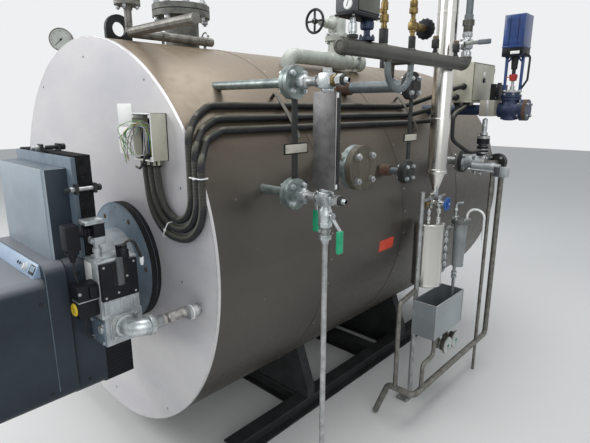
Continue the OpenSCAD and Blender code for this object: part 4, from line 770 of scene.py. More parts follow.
# ribbed conduits along the route of their solids, with ties
conduitValues = {"radius": 14.3, "pitch": 4.8, "rib": .11, "angles": (34.5, 37.8, 41.8), "over": (31.8, 34.5, 37.8),
    "rise": (420, 460, 510)}
ringR = .3 + 14.5
leaves = ([(860, 1700, 1610), (915, 1812, 1630), (915, 1812, 1714.7)],
    [(840, 1700, 1680), (920, 1740, 1740), (920, 1789.7, 1740)], [(960, 1740, 1800), (960, 1789.7, 1800)])
for k, angle in enumerate(conduitValues["angles"]):
    x0, x1, low = 525 + 40 * k, 858 - 32 * k, 1205 + 35 * k
    points = [(x0, -33, 1469.7), (x0, -33, 1444.7), (x0, -17, low), (x1, -17, low),
        (x1, -17, middle + conduitValues["rise"][k]), roundCasing(conduitValues["over"][k], 60, ringR + 15),
        roundCasing(angle, 160, ringR), roundCasing(angle, 1620, ringR)] + leaves[k]
    route = roundedRoute(points, [60, 150 - 25 * k, 150 - 25 * k, 40, 30, 60, 60] + ([20] if k == 2 else [40, 20]),
        10)
    tube(calmed(evenPoints(route, conduitValues["pitch"] / 2), 60), conduitValues["radius"], "cableBlack",
        conduitValues["rib"])
route = roundedRoute([(970, 1820, 1714.7), (970, 1820, 1690), (1000, 1590, 1645), (1010, 1575, 1505),
    (1078, 1660, 1434), (1078, 1817.7, 1434)], [20, 40, 40, 60], 10)
tube(calmed(evenPoints(route, 2.2), 60), 11.8, "cableBlack", .1)
finishPiece("ribbed_conduits", replaced=("cable_conduits",), smooth=60)


def tie(low, high, depth0, depth1):
    corners = [Vector((low[0], depth0, low[1])), Vector((high[0], depth0, high[1])),
        Vector((high[0], depth1, high[1])), Vector((low[0], depth1, low[1]))]
    line = roundedRoute([(corners[0] + corners[1]) / 2] + corners[1:] + [corners[0], (corners[0] + corners[1]) / 2],
        9)
    tube(line, 2.2, "tieWhite", resolution=1)
    head = (corners[0] + corners[1]) / 2
    block(head - Vector((5, 5, 4)), head + Vector((5, 1, 4)), "tieWhite", .8)


tie((808, 1447), (876, 1447), -35, 1)
tie((614, 1200), (657, 1262), -35, 1)
finishPiece("conduit_ties")
for y in (530, 1560):
    for angle in (31.2, 45.2):
        at = Vector(roundCasing(angle, y + 11, 27))
        turned(at, at - Vector((0, y + 11, middle)), (0, 6, 3.5, 5.6, 4.5, 3.4), "zincPlate", 14)
finishPiece("clip_screws")
print("conduits done")

# level gauge
gaugeValues = {"y": 276, "low": 1376, "high": 1766, "face": 1030, "x": 1163, "bolts": 4, "boltAcross": 19}
gy, gl, gh, gf, gx = (gaugeValues[k] for k in ("y", "low", "high", "face", "x"))
for z in (gl, gh):
    boltRing((gf, gy, z), right, 42, gaugeValues["bolts"], gaugeValues["boltAcross"], [(0, 1), (-34, -1)],
        "zincWhite", stub=5)
    turned((gf - 34, gy, z), left, (0, 34, 3, 34, 16, 21, 17, 18), "greyIron", 40)
    turned((gf, gy, z), right, (0, 34, 2.5, 34, 3, 20), "paleZinc", 40)
finishPiece("gauge_bolts")
for z, way in ((gh, 1), (gl, -1)):
    hexNut((gf + 18, gy, z), right, 26, 44, "zincWhite")
    turned((gf + 44, gy, z), right, (0, 21, 4, 20, 8, 15.5, 40, 15.2, 46, 20, 50, 20), "zincPlate", 40)
    block((gx - 24, gy - 21, z - 25), (gx + 22, gy + 21, z + 25), "zincWhite", 5)
    hexNut((gx + 22, gy, z), right, 14, 34, "brassWorn" if way == 1 else "zincWhite")
    turned((gx + 34, gy, z), right, (0, 12, 10, 12, 10, 17, 24, 17, 25, 14, 28, 14), "zincPlate", 40)
    hexNut((gx + 62, gy, z), right, 10, 30, "darkIron")
    turned((gx + 72, gy, z), right, (0, 10, 10, 9, 11, 7.4, 16, 7.2), "zincWhite", 24)
    hexNut((gx, gy, z - way * 25), up * -way, 11, 38, "zincWhite")
hexNut((gx, gy, gh + 24), up, 10, 28, "zincWhite")
turned((gx, gy, gh + 33), up, (0, 9, 5, 8, 7, 4), "zincPlate", 20)
hexNut((gf + 51, gy - 20, gl), front, 8, 20)
finishPiece("cock_bodies")
turned((gx, gy, 1318), up, (-26, 21, -20, 24, 18, 24, 24, 20, 34, 17), "zincWhite", 32)
hexNut((gx, gy, 1278), up, 16, 44, "zincWhite")
turned((gx, gy, 1278), down, (0, 17, 8, 17, 9, 21, 20, 21, 22, 17, 30, 16), "zincPlate", 40)
hexNut((gx, gy, 1231), up, 17, 40, "zincWhite")
turned((gx, gy, 1231), down, (0, 17, 10, 14.5, 18, 12), "zincPlate", 40)
block((gx - 4, gy - 34, 1262), (gx + 4, gy - 18, 1272), "zincPlate")
turned((gx + 20, gy, 1318), right, (0, 13, 8, 12.6, 9, 9, 9.8, 9))
turned((gx, gy, 0), up, (0, 22, 6, 22, 14, 17, 18, 12))
finishPiece("drain_unions")
bodyL, bodyR = gx - 45, gx + 45
block((bodyL - .6, gy - 17.2, 1410), (bodyR + .6, gy - 9, 1732), "gaugeSteel", 1.4)
block((bodyL - .6, gy + 8, 1410), (bodyR + .6, gy + 16.6, 1732), "darkIron", 1.4)
block((bodyR - 1, gy - 9, 1411), (bodyR + .4, gy + 8, 1731), "blackPlastic", .3)
block((bodyR - .6, gy - 5, 1440), (bodyR + 1, gy + 4, 1702), "glassDark", .4)
block((bodyR - .4, gy - 9, 1412), (bodyR + 1.4, gy - 6.2, 1730), "brightEdge", .4)
for z in (1712, 1414):
    block((bodyR - .4, gy - 5, z), (bodyR + 1.6, gy + 4, z + 16), "tieWhite", .6)
for step in range(5):
    z = 1432 + step * 69.5
    for x in (bodyR - 12, bodyL + 12):
        hexNut((x, gy + 16, z), rear, 8, 15)
finishPiece("gauge_cover")
rod((gx + 30.3, gy, 1318), right, 5, 12.4, "zincWhite", edge=1)
hexNut((gx + 35, gy, 1318), right, 5, 15)
beam((gx + 32.6, gy, 1312), (gx + 65.2, gy, 1272), 15, 4.4, "zincWhite")
beam((gx + 65.2, gy, 1274), (gx + 65.2, gy, 1256), 15, 4.4, "zincWhite")
block((gx + 57.5, gy - 13, 1191.6), (gx + 73, gy + 13, 1272.4), "gripGreen", 4, 3)
finishPiece("drain_arm", body="drain_lever_body", replaced=("drain_lever",))
rod((1081, gy + 46.3, gl), rear, 5, 12.4, "zincWhite", edge=1)
hexNut((1081, gy + 51, gl), rear, 5, 15)
beam((1081, gy + 48.4, gl - 4), (1081, gy + 48.4, gl - 64), 14, 4.2, "zincWhite", side=right)
block((1068.5, gy + 41.6, gl - 140), (1093.5, gy + 55.4, gl - 60), "gripGreen", 4, 3)
finishPiece("cock_arm", body="cock_lever_body", replaced=("cock_lever",))
for x, y, z in ((1026, gy, 1521), (1008, 1115, 1522)):
    block((x - .4, y - 61.4, z - .4), (x + .9, y + 61.4, z + 38.4), "blackPlastic", .4)
    block((x + .6, y - 56, z + 4), (x + 1.7, y + 56, z + 34), "plateCream", .4)
    for side in (-50, 50):
        turned((x + 1.5, y + side, z + 19), right, (0, 3.4, 1.2, 3, 1.8, 1.8), "zincPlate", 14)
finishPiece("bare_plates")
print("level gauge done")

# side nozzles: bolts, collars, worn faces
# each: the middle of its face, radius of the bolt circle, bolt size
nozzleValues = {"blank": (1062, 645, 1439, 70, 25), "probes": ((1012, 1115, 1782, 46, 20), (1012, 1115, 1370, 40, 17))}
fx, fy, fz, pitch, across = nozzleValues["blank"]
boltRing((fx, fy, fz), right, pitch, 4, across, [(.8, 1), (-54, -1)], stub=6)
turned((fx, fy, fz), right, (-25.6, 93, .2, 93, 1, 92.2), "flangePatina", 96)
turned((fx - 54, fy, fz), right, (-.4, 93, 25.6, 93), "paleZinc", 96)
turned((fx - 28, fy, fz), right, (.2, 90, 1.8, 90), "wireBlue", 96)
turned((fx - 54, fy, fz), left, (0, 62, 4, 62, 22, 42, 24, 38.6, 90, 38.6), "greyIron", 48)
block((fx - 60, fy - 96, fz + 38), (fx - 44, fy - 92.4, fz + 64), "rustCollar")
finishPiece("blank_bolts")
for fx, fy, fz, pitch, across in nozzleValues["probes"]:
    boltRing((fx, fy, fz), right, pitch, 4, across, [(0, 1), (-34, -1)], "zincWhite", stub=4)
rod((640, 1115, 1782), right, 338, 28.6, "pipeGrey", sides=48)
turned((570, 1115, 1782), right, (0, 40, 50, 37.5, 70, 36.8, 78, 30), "rustCollar", 48)
turned((978, 1115, 1782), left, (0, 44, 3, 44, 16, 30, 20, 28.8), "darkIron", 48)
turned((856, 1115, 1370), right, (0, 31, 6, 29, 44, 27, 50, 26.6, 52, 20), "rustCollar", 48)
turned((978, 1115, 1370), left, (0, 30, 3, 30, 14, 18.4, 70, 17.8), "pipeGrey", 48)
turned((1012, 1115, 1782), right, (0, 20, 2, 19, 3, 8), "darkIron", 40)
turned((1012, 1115, 1370), right, (0, 17, 2, 16, 3, 8), "darkIron", 40)
finishPiece("probe_bolts")
print("side nozzles done")

# header: cap, welds, sockets
headerValues = {"x": 1080, "z": 1897, "r": 30, "near": 452, "far": 1468, "sockets": (520, 726, 950, 1165, 1385),
    "siphon": (765, 951), "bend": 13}
hx, hz, hr = headerValues["x"], headerValues["z"], headerValues["r"]
top = hz + hr + .3
turned((hx, headerValues["near"], hz), front, (-6, 30.5, 2, 30.5, 7, 28.5, 9.4, 24, 9.4, 17, 6.8, 16.4),
    "headerSteel", 48)
ring((hx, headerValues["near"] - 8.6, hz), rear, 17, 1.3, "darkIron", 48)
ring((hx, headerValues["near"] + 7, hz), rear, 30.2, 1.3, "headerSteel", 48)
ring((hx, headerValues["far"], hz), rear, 30.2, 1.5, "headerSteel", 48)
turned((880, 1115, 1810), up, (0, 24, 4, 24, 10, 18), "pipeGrey", 40)
turned((hx - 29, 1115, hz), left, (0, 22, 8, 18), "headerSteel", 40)
for y in headerValues["sockets"]:
    turned((hx, y, hz), up, (24, 20, 30, 17, 33, 13), "headerSteel")
for y in headerValues["siphon"]:
    turned((hx, y, hz), down, (24, 19, 31, 17, 36, 13.6), "headerSteel")
tube(evenPoints(roundedRoute([(hx, 765, 1866), (hx, 765, 1755), (hx, 951, 1755), (hx, 951, 1866)], 90, 14), 6),
    headerValues["bend"] + .5, "pipeGrey", resolution=4)
finishPiece("header_welds")
block((1033, 471, 2000), (1119, 639, 2009), "blackPlastic", 2.5)
block((1034, 472, 2009), (1118, 638, 2133), "switchGrey", 7, 3)
block((1117, 500, 2018), (1119.4, 630, 2128), "smokedCover", 3)
block((1116.6, 496, 2014), (1118.4, 634, 2131), "blackPlastic", 2)
turned((1092, 472, 2036), front, (-1, 19, 3, 19, 4.5, 17), "tieWhite", 40)
turned((1092, 472, 2036), front, (3, 15.5, 4.9, 15.5), "labelWhite", 36)
beam((1088, 466.6, 2027), (1096, 466.6, 2046), 2.4, 1, "blackPlastic", side=right, edge=.2)
for y in (480, 630):
    for x in (1041, 1111):
        turned((x, y, 2000), down, (0, 4.6, 3, 4.2, 4, 2.6), "zincPlate", 16)
finishPiece("switch_case")
hexNut((hx, 520, top), up, 13, 36, "darkIron")
turned((hx, 520, top), up, (13, 11, 20, 11, 21, 15.6, 52, 15.6, 54, 10.6, 72, 10.6), "zincWhite")
turned((hx, 610, top), up, (0, 30, 12.2, 30, 13, 16, 22, 12.4, 37, 12.4, 42, 24.5, 50, 26, 64, 26, 72, 22),
    "valveBlue", 40)
boltRing((hx, 610, top + 12), up, 23, 4, 10, [(0, 1)], "valveBlue", stub=4)
finishPiece("switch_mounts")
block((hx - 14, 712, top + 1), (hx + 14, 740, top + 57), "darkIron", 3)
turned((hx, 726, top + 57), up, (0, 12.5, 10, 12.5, 11, 10.4, 24, 10.4), "brassWorn")
hexNut((hx, 726, top + 80), up, 28, 31, "brassWorn")
turned((hx, 726, top + 108), up, (0, 13, 6, 10.4, 16, 10.4, 18, 14, 44, 14, 48, 10.8, 70, 10.8, 74, 15, 84, 15),
    "brassWorn")
turned((hx, 726, top + 118), front, (8, 7, 22, 7, 24, 9, 28, 9), "brassWorn", 20)
turned((hx, 726, top + 190), up, (0, 18, 4, 22, 62, 22, 68, 18, 72, 12), "valveBlue", 36)
block((hx - 12, 938, top + 1), (hx + 12, 962, top + 52), "darkIron", 3)
turned((hx, 950, top + 52), up, (0, 10, 14, 10, 16, 14, 24, 14, 26, 11, 30, 11), "brassWorn")
block((hx - 16, 934, top + 76), (hx + 16, 966, top + 108), "brassWorn", 4)
turned((hx, 950, top + 108), up, (0, 13, 10, 13, 14, 9.6, 30, 9.6, 34, 12), "brassWorn")
hexNut((hx, 950, top + 142), up, 22, 32, "brassWorn")
turned((hx, 950, top + 164), up, (0, 14, 4, 16.4, 26, 16.4, 28, 12.4, 36, 12.4), "brassWorn")
turned((hx, 950, top + 92), rear, (14, 13, 22, 13, 24, 18, 34, 18, 35, 16.6, 92, 16.6, 96, 14, 108, 14), "brassWorn",
    36)
turned((hx, 1050, top + 92), rear, (0, 36, 3, 41, 5, 42, 18, 42, 22, 38, 22, 34), "blackPlastic", 48)
turned((hx, 1050, top + 92), rear, (21, 34, 22.4, 33.6), "labelWhite", 40)
for step in range(14):
    angle = step * 2 * math.pi / 14
    rod((hx + 41 * math.cos(angle), 1052, top + 92 + 41 * math.sin(angle)), rear, 16, 4, "blackPlastic", sides=12,
        edge=1)
for y in (1165, 1385):
    turned((hx, y, top), up, (0, 12, 8, 12, 9, 9, 22, 9), "darkIron")
    block((hx - 14, y - 14, top + 21), (hx + 14, y + 14, top + 60), "darkIron", 4)
    turned((hx, y, top + 58), up, (0, 13, 14, 13, 17, 10, 18, 4), "brownCap")
finishPiece("header_brass", replaced=("brass_fittings",))
vy, vz = 1506, 1935
hexNut((hx, vy, vz), up, 26, 43, "zincWhite")
turned((hx, vy, vz), up, (25, 18, 34, 18.6, 38, 26, 44, 30, 78, 30, 84, 26, 88, 19, 97, 18.6), "zincWhite", 40)
hexNut((hx, vy, vz + 96), up, 20, 43)
turned((hx, vy, vz + 116), up, (0, 20, 6, 23, 28, 23, 34, 22.6, 35, 29, 61, 29, 63, 18), "headerSteel", 40)
turned((hx, vy, vz + 178), up, (0, 22, 24, 22, 26, 17.6, 141, 17.6), "pipeGrey", 40)
turned((hx, vy - 28, vz + 61), front, (0, 13, 6, 13, 7, 8.8, 13.6, 8.8))
for x, z in ((-20, 42), (20, 42), (-20, 80), (20, 80)):
    hexNut((hx + x, vy - 33, vz + z), rear, 17, 11)
finishPiece("valve_nuts")
ly = 1463.7
rod((hx, ly, 1996), front, 4, 13.4, "zincPlate", edge=.8)
hexNut((hx, ly - 4, 1996), front, 5, 15, "zincWhite")
beam((hx, ly - 2, 1996), (1172, ly - 2, 1996), 18, 4, "leverGrey", side=up)
block((1156, ly - 8.4, 1984), (1220, ly + 4.4, 2008), "gripGrey", 5, 3)
finishPiece("lever_arm", body="header_lever_body", replaced=("header_lever",))
print("header done")

# top fittings
topValues = {"x": 400, "y": 1300, "line": 1946, "axle": 2135, "steam": (0, 524, 2122), "dial": (-306, 40, 2000),
    "vent": (134, 157, 2113)}
tx, ty, tl, ta = topValues["x"], topValues["y"], topValues["line"], topValues["axle"]
boltRing((tx, ty, 2050), up, 59, 6, 16, [(26, 1), (0, -1)], stub=5)
boltRing((tx, 1484, tl), rear, 40, 4, 17, [(0, -1), (39, 1)], stub=5)
turned((tx, 1210, ta), front, (0, 25, 12, 25, 14, 17, 32, 16, 34, 20, 44, 20), "paleCast", 32)
hexNut((tx, 1166, ta), front, 16, 34)
hexNut((tx, 1093, ta), front, 6, 19)
turned((tx, ty, 2076), up, (0, 52, 16, 48, 20, 46.6, 100, 46.6, 108, 42, 109, 20), "paleCast", 56)
turned((tx, ty, tl), rear, (-84, 39, -70, 47, -50, 50, 50, 50, 70, 47, 84, 39), "paleCast", 56)
turned((tx, ty, tl + 30), up, (0, 53, 54, 51, 74, 50.6), "paleCast", 56)
block((tx - 30, ty - 47.6, 2096), (tx + 30, ty - 44, 2176), "paleCast", 3)
turned((tx, 1410, tl), rear, (0, 43, 10, 43, 14, 33), "paleCast", 48)
ring((tx, 947, tl), rear, 38.2, 1.6, "paleCast", 48)
ring((tx, 877, 1876), up, 38.2, 1.6, "paleCast", 48)
finishPiece("yoke_bolts")
sx, sy, sz = topValues["steam"]
boltRing((sx, sy, sz), up, 120, 8, 30, [(56, 1), (0, -1)], stub=9)
turned((sx, sy, sz), up, (-16, 86, -2, 100, 0, 100), "greyIron", 64)
turned((sx, sy, sz + 26), up, (.4, 122, 3.6, 122), "gasketBlack", 64)
boltRing((topValues["vent"][0], 157, 2113), up, 41, 4, 17, [(34, 1), (0, -1)], stub=5)
turned((134, 157, 2096), up, (0, 16.6, 14, 24, 17, 26), "agedSteel", 40)
ring((134, 157, 2027), up, 17, 1.8, "agedSteel", 32)
for y in (330, 570):
    tube(roundedRoute([(106, y, 2008), (106, y, 2046), (154, y, 2046), (154, y, 2008)], 22), 3.4, "zincPlate")
    for x in (106, 154):
        hexNut((x, y, 2032), down, 7, 13)
finishPiece("top_bolts")
face = Vector((.848, -.53, 0)).normalized()
centre = Vector(topValues["dial"])
across = face.cross(up)
turned(centre, face, (4, 53.8, 17, 54.4, 19.6, 53.2, 19.6, 49), "agedSteel", 64)
ring(centre + face * 20.2, face, 51, 2.4, "agedSteel", 64)
turned(centre, face, (17, 48.6, 20.6, 48), "discPale", 64)
turned(centre, face, (20, 5, 23, 4.6, 24, 2.6), "blackPlastic", 24)
turned(centre, -face, (10, 53.6, 19, 52, 22, 44), "blackSteel", 64)
turned(centre + Vector((0, 0, -52)), down, (-6, 17, 8, 15, 9, 13, 26, 13, 27, 9), "brassWorn")
for step in range(31):
    angle = math.radians(-135 + step * 9)
    ray = up * math.cos(angle) + across * math.sin(angle)
    inner = 35 if step % 5 == 0 else 39
    beam(centre + face * 20.8 + ray * inner, centre + face * 20.8 + ray * 43, 1.6 if step % 5 == 0 else .9, .6,
        "blackPlastic", side=face.cross(ray), edge=0)
ray = up * math.cos(2.35) + across * math.sin(2.35)
beam(centre + face * 21.8 - ray * 12, centre + face * 21.8 + ray * 36, 2.2, .8, "blackPlastic", side=face.cross(ray),
    edge=.2)
finishPiece("dial_face")
print("top done")

# sampling set
samplingValues = {"riser": (985, 1466), "bands": (1346, 1620, 1890, 2150), "cooler": (998, 1400),
    "coolerBands": (712, 1056), "vessel": (1103, 1570),
    "cock": (985, 1405), "wheel": (1067, 1451, 1168), "stand": (1041, 1529), "discs": (1455, 1560),
    "tundish": (1010, 1144, 1250, 1590, 648)}
rx, ry = samplingValues["riser"]
for z in samplingValues["bands"]:
    turned((rx, ry, z), up, (-7, 52.1, -6, 53, 6, 53, 7, 52.1), "stainless", 64)
turned((rx, ry, 1330), up, (-1, 50, -1, 55.4, 3, 56, 13, 56, 17, 55.4, 18, 52), "stainless", 64)
turned((rx, ry, 1230), up, (-28, 14, -24, 17, -2, 17, 2, 13.4), "zincWhite", 32)
block((rx - 54, ry - 3, 1350), (rx - 51.4, ry + 3, 2236), "stainless", .8)
turned((rx, ry, 2236), up, (-8, 53.6, 3, 53.6, 4, 50), "stainless", 64)
finishPiece("riser_bands")
qx, qy = samplingValues["cooler"]
cx, cy = samplingValues["cock"]
px, py, pz = samplingValues["wheel"]
for z in samplingValues["coolerBands"]:
    turned((qx, qy, z), up, (-6, 82.2, -5, 83.4, 5, 83.4, 6, 82.2), "stainless", 72)
turned((qx, qy, 1062), up, (-3, 82.6, 2, 81, 5.4, 74, 6.4, 60), "stainless", 72)
turned((qx, qy, 706), down, (-3, 82.6, 2, 81, 5, 74, 6, 40), "stainless", 72)
turned((978, 1400, 704), down, (0, 16, 10, 16, 11, 12, 26, 12, 28, 9))
for z in (1072, 1108):
    hexNut((cx, cy, z), up, 22, 22, "zincWhite")
turned((cx, cy, 1142), up, (0, 13, 6, 17, 38, 17, 46, 12, 48, 9, 66, 9))
turned((cx, cy, 1168), front, (14, 10, 24, 10, 26, 7, 44, 7, 46, 15, 54, 15, 56, 11), "brassWorn", 24)
turned((px - 47, py, pz), up, (-22, 10, -18, 14, 14, 14, 18, 10, 22, 10, 24, 14, 38, 14, 40, 8), "zincWhite")
hexNut((px - 35, py, pz), right, 14, 24, "zincWhite")
for z in (1064, 1112):
    hexNut((px - 47, py, z), up, 24, 25, "zincWhite")
finishPiece("cooler_fittings")
turned((px, py, pz), right, (7, 10, 8.4, 10, 10, 8, 11.6, 8), "wheelBlue", 20)
hexNut((px + 11.5, py, pz), right, 4.5, 11, "zincWhite")
for k in range(6):
    rim = Vector((px, py + 33 * math.cos(k * math.pi / 3), pz + 33 * math.sin(k * math.pi / 3)))
    turned(rim, right, (-5.6, 4, -4, 5.4, 4, 5.4, 5.6, 4), "wheelBlue", 14)
finishPiece("wheel_hub", body="sample_handwheel_body")
turned((tx, 1100, ta), front, (9, 12.5, 11.5, 12, 12.5, 9), "blackSteel", 24)
for k in range(4):
    spoke = right * math.cos(k * math.pi / 2) + up * math.sin(k * math.pi / 2)
    rod(Vector((tx, 1100, ta)) + spoke * 30, spoke, 28, 5.4, "blackSteel", sides=16, endRadius=6.4)
finishPiece("top_wheel_hub", body="top_handwheel_body")
wx, wy = samplingValues["vessel"]
tube(roundedRoute([(wx + 30, wy + 8, 1062), (wx + 30, wy + 8, 1132), (wx + 126, wy + 8, 1132),
    (wx + 126, wy + 8, 965)], 44), 6.6, "tieWhite", resolution=3)
tube(roundedRoute([(wx - 34, wy, 1062), (wx - 34, wy, 1154), (wx + 4, wy + 4, 1162)], 12), 6.4, "zincWhite",
    resolution=3)
turned((wx, wy, 1044), up, (-1, 51.6, 8.6, 51.6, 9, 46, 14, 46, 14.4, 51.6, 23, 51.6, 25, 48), "vesselDark", 56)
turned((wx, wy, 792), up, (-1, 24, -1, 31.8, 8, 32.6), "vesselGrey", 48)
hexNut((wx - 34, wy, 1066), up, 14, 20, "zincWhite")
hexNut((wx - 34, wy, 1112), up, 14, 20, "zincWhite")
for step in range(6):
    angle = step * math.pi / 3 + .3
    hexNut((wx + 44 * math.cos(angle), wy + 44 * math.sin(angle), 1068), up, 9, 13)
for z in (786, 832, 880, 930, 968):
    hexNut((*samplingValues["stand"], z), up, 24, 27, "zincWhite")
    turned((*samplingValues["stand"], z), up, (-8, 10, -5, 12.4, 29, 12.4, 32, 10), "zincPlate", 24)
for z in (718, 742):
    hexNut((wx - 10, wy - 14, z), up, 16, 27, "zincWhite")
finishPiece("vessel_fittings")
x0, x1, y0, y1, z = samplingValues["tundish"]
tube(((x0, y0, z), (x1, y0, z), (x1, y1, z), (x0, y1, z), (x0, y0, z)), 3.2, "zincPlate")
for x, y in ((x0, y0), (x1, y0), (x1, y1)):
    block((x - 2.2, y - 2.2, 450), (x + 2.2, y + 2.2, 646), "zincPlate", 1.2)
for y in samplingValues["discs"]:
    turned((1088.5, y, 338), right,
        (0, 13, 8, 13, 10, 36, 14, 39, 36, 39, 38, 44, 39, 51, 46, 51, 49.2, 48, 49.4, 44), "clipSteel", 56)
    turned((1138, y, 338), right, (0, 43, 1.6, 42.6), "discPale", 48)
    turned((1139.4, y, 338), right, (0, 10, 3, 9, 4, 5), "tealCap")
    beam((1140, y, 312), (1140, y, 330), 5, 1.4, "tealCap", edge=.3)
for x, y in ((944, 1262), (944, 1342), (996, 1262), (996, 1342)):
    hexNut((x, y, 8), up, 10, 16)
finishPiece("tundish_rim")
print("sampling set done")

# blowdown valve
blowValues = {"face": 975, "stem": 1078, "y": 1850, "z": 1362}
ox, oy, oz = (blowValues[k] for k in ("face", "y", "z"))
boltRing((ox, oy, oz), right, 50, 4, 20, [(0, 1), (-34, -1)], stub=5)
boltRing((1096, oy, oz), right, 43, 4, 15, [(0, -1), (16, 1)], stub=4)
turned((ox, oy, oz), right, (-33.6, 66.6, -18, 66.6), "greyIron", 64)
turned((ox, oy, oz), right, (-15.6, 66.6, .3, 66.6), "darkIron", 64)
turned((ox, oy, oz), right, (0, 46, 8, 42.6, 26, 45, 44, 50, 92, 50, 108, 45, 120.8, 42.6), "castAlloy", 56)
turned((blowValues["stem"], oy, 1400), up,
    (6, 20, 8, 32.8, 18, 32.8, 20, 30, 24, 30, 26, 33, 38, 33, 40, 30, 44, 30, 46, 33, 60, 33, 63, 26, 71, 26, 73,
    35.8, 100, 35.8, 117, 33, 121, 18), "blackPlastic", 36)
turned((blowValues["stem"], oy, 1520), up, (0, 16, 5, 22, 18, 22, 20, 15, 94, 15, 96, 9, 100, 6), "zincWhite", 36)
turned((1020, 1804, 1347), right, (24, 14, 28, 20, 40, 21, 112, 21, 114, 23.4, 160, 23.4, 162, 19), "castAlloy", 40)
rod((1026, 1796, 1323), right, 158, 8.4, "zincWhite", edge=1)
turned((1026, 1796, 1323), right, (-3, 6, 0, 11, 12, 11, 14, 8), "zincWhite")
block((1179, 1779, 1295), (1216, 1829, 1351), "switchGrey", 4)
block((1214, 1779, 1295), (1252, 1829, 1351), "castAlloy", 4)
turned((1062, 1804, 1326), down, (0, 9, 8, 9, 9, 12, 22, 12, 24, 8, 34, 8), "zincPlate", 24)
turned((1062, 1804, 1302), right, (8, 8, 22, 8, 24, 11, 38, 11, 40, 6), "zincPlate", 24)
turned((1046, oy - 30, oz + 26), front, (0, 14, 10, 14, 11, 9, 18, 8), "zincPlate", 24)
boltRing((1138, 1920, oz), rear, 40, 4, 15, [(0, -1), (42, 1)], stub=4)
for low, high in ((-.3, 20.2), (21.8, 42.3)):
    turned((1138, 1920, oz), rear, (low, 52.5, high, 52.5), "darkIron", 56)
finishPiece("blowdown_fittings")
print("blowdown done")

# control box, feed valve, actuator
feedValues = {"x": 1200, "y": 1880, "z": 1668, "lid": 4.5}
kx, ky, kz = feedValues["x"], feedValues["y"], feedValues["z"]
block((1009.6, 1797, 1722), (1010 + feedValues["lid"], 2093, 1928), "boxCream", 2)
block((1009.4, 1794, 1719), (1011, 2096, 1931), "gasketBlack", .5)
block((1014, 1922, 1862), (1016.2, 1948, 1886), "labelWhite", .6)
turned((1014, 1934, 1838), right, (0, 15, 3, 15, 4, 12, 9, 11), "blackPlastic")
beam((1025, 1924, 1838), (1025, 1952, 1838), 9, 7, "zincPlate", side=up)
block((891, 1788.6, 1716), (1009, 1791, 1934), "boxCream", 1.2)
block((886, 1786, 1711), (1013, 2104, 1716), "boxCream", 1.5)
for z in (1752, 1900):
    rod((1012, 2094, z - 14), up, 28, 4, "zincPlate", sides=20, edge=.8)
glands = ((915, 1812, 1714.6, down), (970, 1820, 1714.6, down), (920, 1789, 1740, front), (960, 1789, 1800, front))
for x, y, z, way in glands:
    deep = 12.6 if way == down else 12
    hexNut((x, y, z), way, deep, 34, "blackPlastic")
    turned(Vector((x, y, z)) + way * deep, way, (0, 18, 8, 17, 9, 15.6), "blackPlastic")
finishPiece("control_lid")
turned((kx, ky, kz), right, (-60.6, 40, -60.5, 40.6, -42, 41.4, -24, 49, 0, 53, 30, 50, 50, 44, 60.4, 41),
    "valveBlue", 56)
turned((kx, ky, kz), up,
    (-58, 20, -54, 34, -40, 46, 40, 48, 48, 42, 54, 42, 55, 54, 67, 54, 68, 46, 70, 54, 82, 54, 83, 40, 92, 36, 97,
    28), "valveBlue", 56)
turned((kx, ky, kz), right, (58, 46, 59.6, 57.6, 78.2, 57.6), "valveBlue", 56)
turned((kx, ky, kz), right, (78.6, 57.8, 97.6, 57.8), "rustCollar", 56)
turned((kx, ky, kz + 96), up, (0, 44, 6, 44, 8, 20, 14, 18, 16, 12, 34, 12, 36, 7.6, 64, 7.6), "zincPlate", 36)
boltRing((kx + 60, ky, kz), right, 44, 4, 15, [(0, -1), (37.6, 1)])
boltRing((kx, ky, kz + 55), up, 46, 6, 11, [(27, 1)])
finishPiece("feed_castings")
turned((kx, ky, 1826), up, (0, 12, 3, 19, 16, 20, 18, 22, 34, 22, 37, 16), "redRubber", 32)
beam((kx - 14, ky - 4, 1846), (kx - 46, ky - 8, 1850), 5, 4, "redRubber", side=up)
turned((kx, ky, 1863), up, (0, 10, 24, 10, 26, 16, 60, 18, 92, 20), "blackSteel")
for side in (-1, 1):
    foot = kx + side * 42
    beam((foot, ky, 1766), (foot + side * 3, ky, 1954), 20, 10, "actuatorBlue", edge=2)
    hexNut((foot, ky, 1765), up, 13, 21)
    beam((foot - side * 6, ky, 1930), (kx + side * 14, ky, 1955), 12, 8, "actuatorBlue", edge=2)
block((kx - 56, ky - 59, 1954), (kx + 56, ky + 59, 2001), "blackPlastic", 4)
block((kx - 10, ky - 60.2, 1966), (kx + 38, ky - 58.6, 1981), "labelWhite", .5)
block((kx - 58, ky - 61, 2000), (kx + 58, ky + 61, 2010), "actuatorBlue", 3)
tube(roundedRoute([(kx + 50, ky, 1966), (kx + 78, ky, 1962), (kx + 76, ky, 1830), (kx + 40, ky + 8, 1776)], 26), 6,
    "cableBlack")
clearSelection()
bpy.ops.mesh.primitive_cube_add(size=1, location=place(kx, ky, 2089))
cover = bpy.context.object
cover.scale = (.109, .122, .158)
bake(cover)
bpy.ops.object.mode_set(mode="EDIT")
bpy.ops.mesh.select_all(action="DESELECT")
bpy.ops.object.mode_set(mode="OBJECT")
for polygon in cover.data.polygons:
    polygon.select = polygon.normal.y < -.9
bpy.ops.object.mode_set(mode="EDIT")
bpy.ops.mesh.inset(thickness=.028, depth=0)
bpy.ops.mesh.extrude_region_move(TRANSFORM_OT_translate={"value": (0, .003, 0)})
bpy.ops.object.mode_set(mode="OBJECT")
soften(cover, 6, 3)
paint(cover, "actuatorBlue")
for x in (-22, 22):
    block((kx + x - 1, ky - 62, 2012), (kx + x + 1, ky - 60, 2162), "gasketBlack", .3)
finishPiece("actuator_cover")
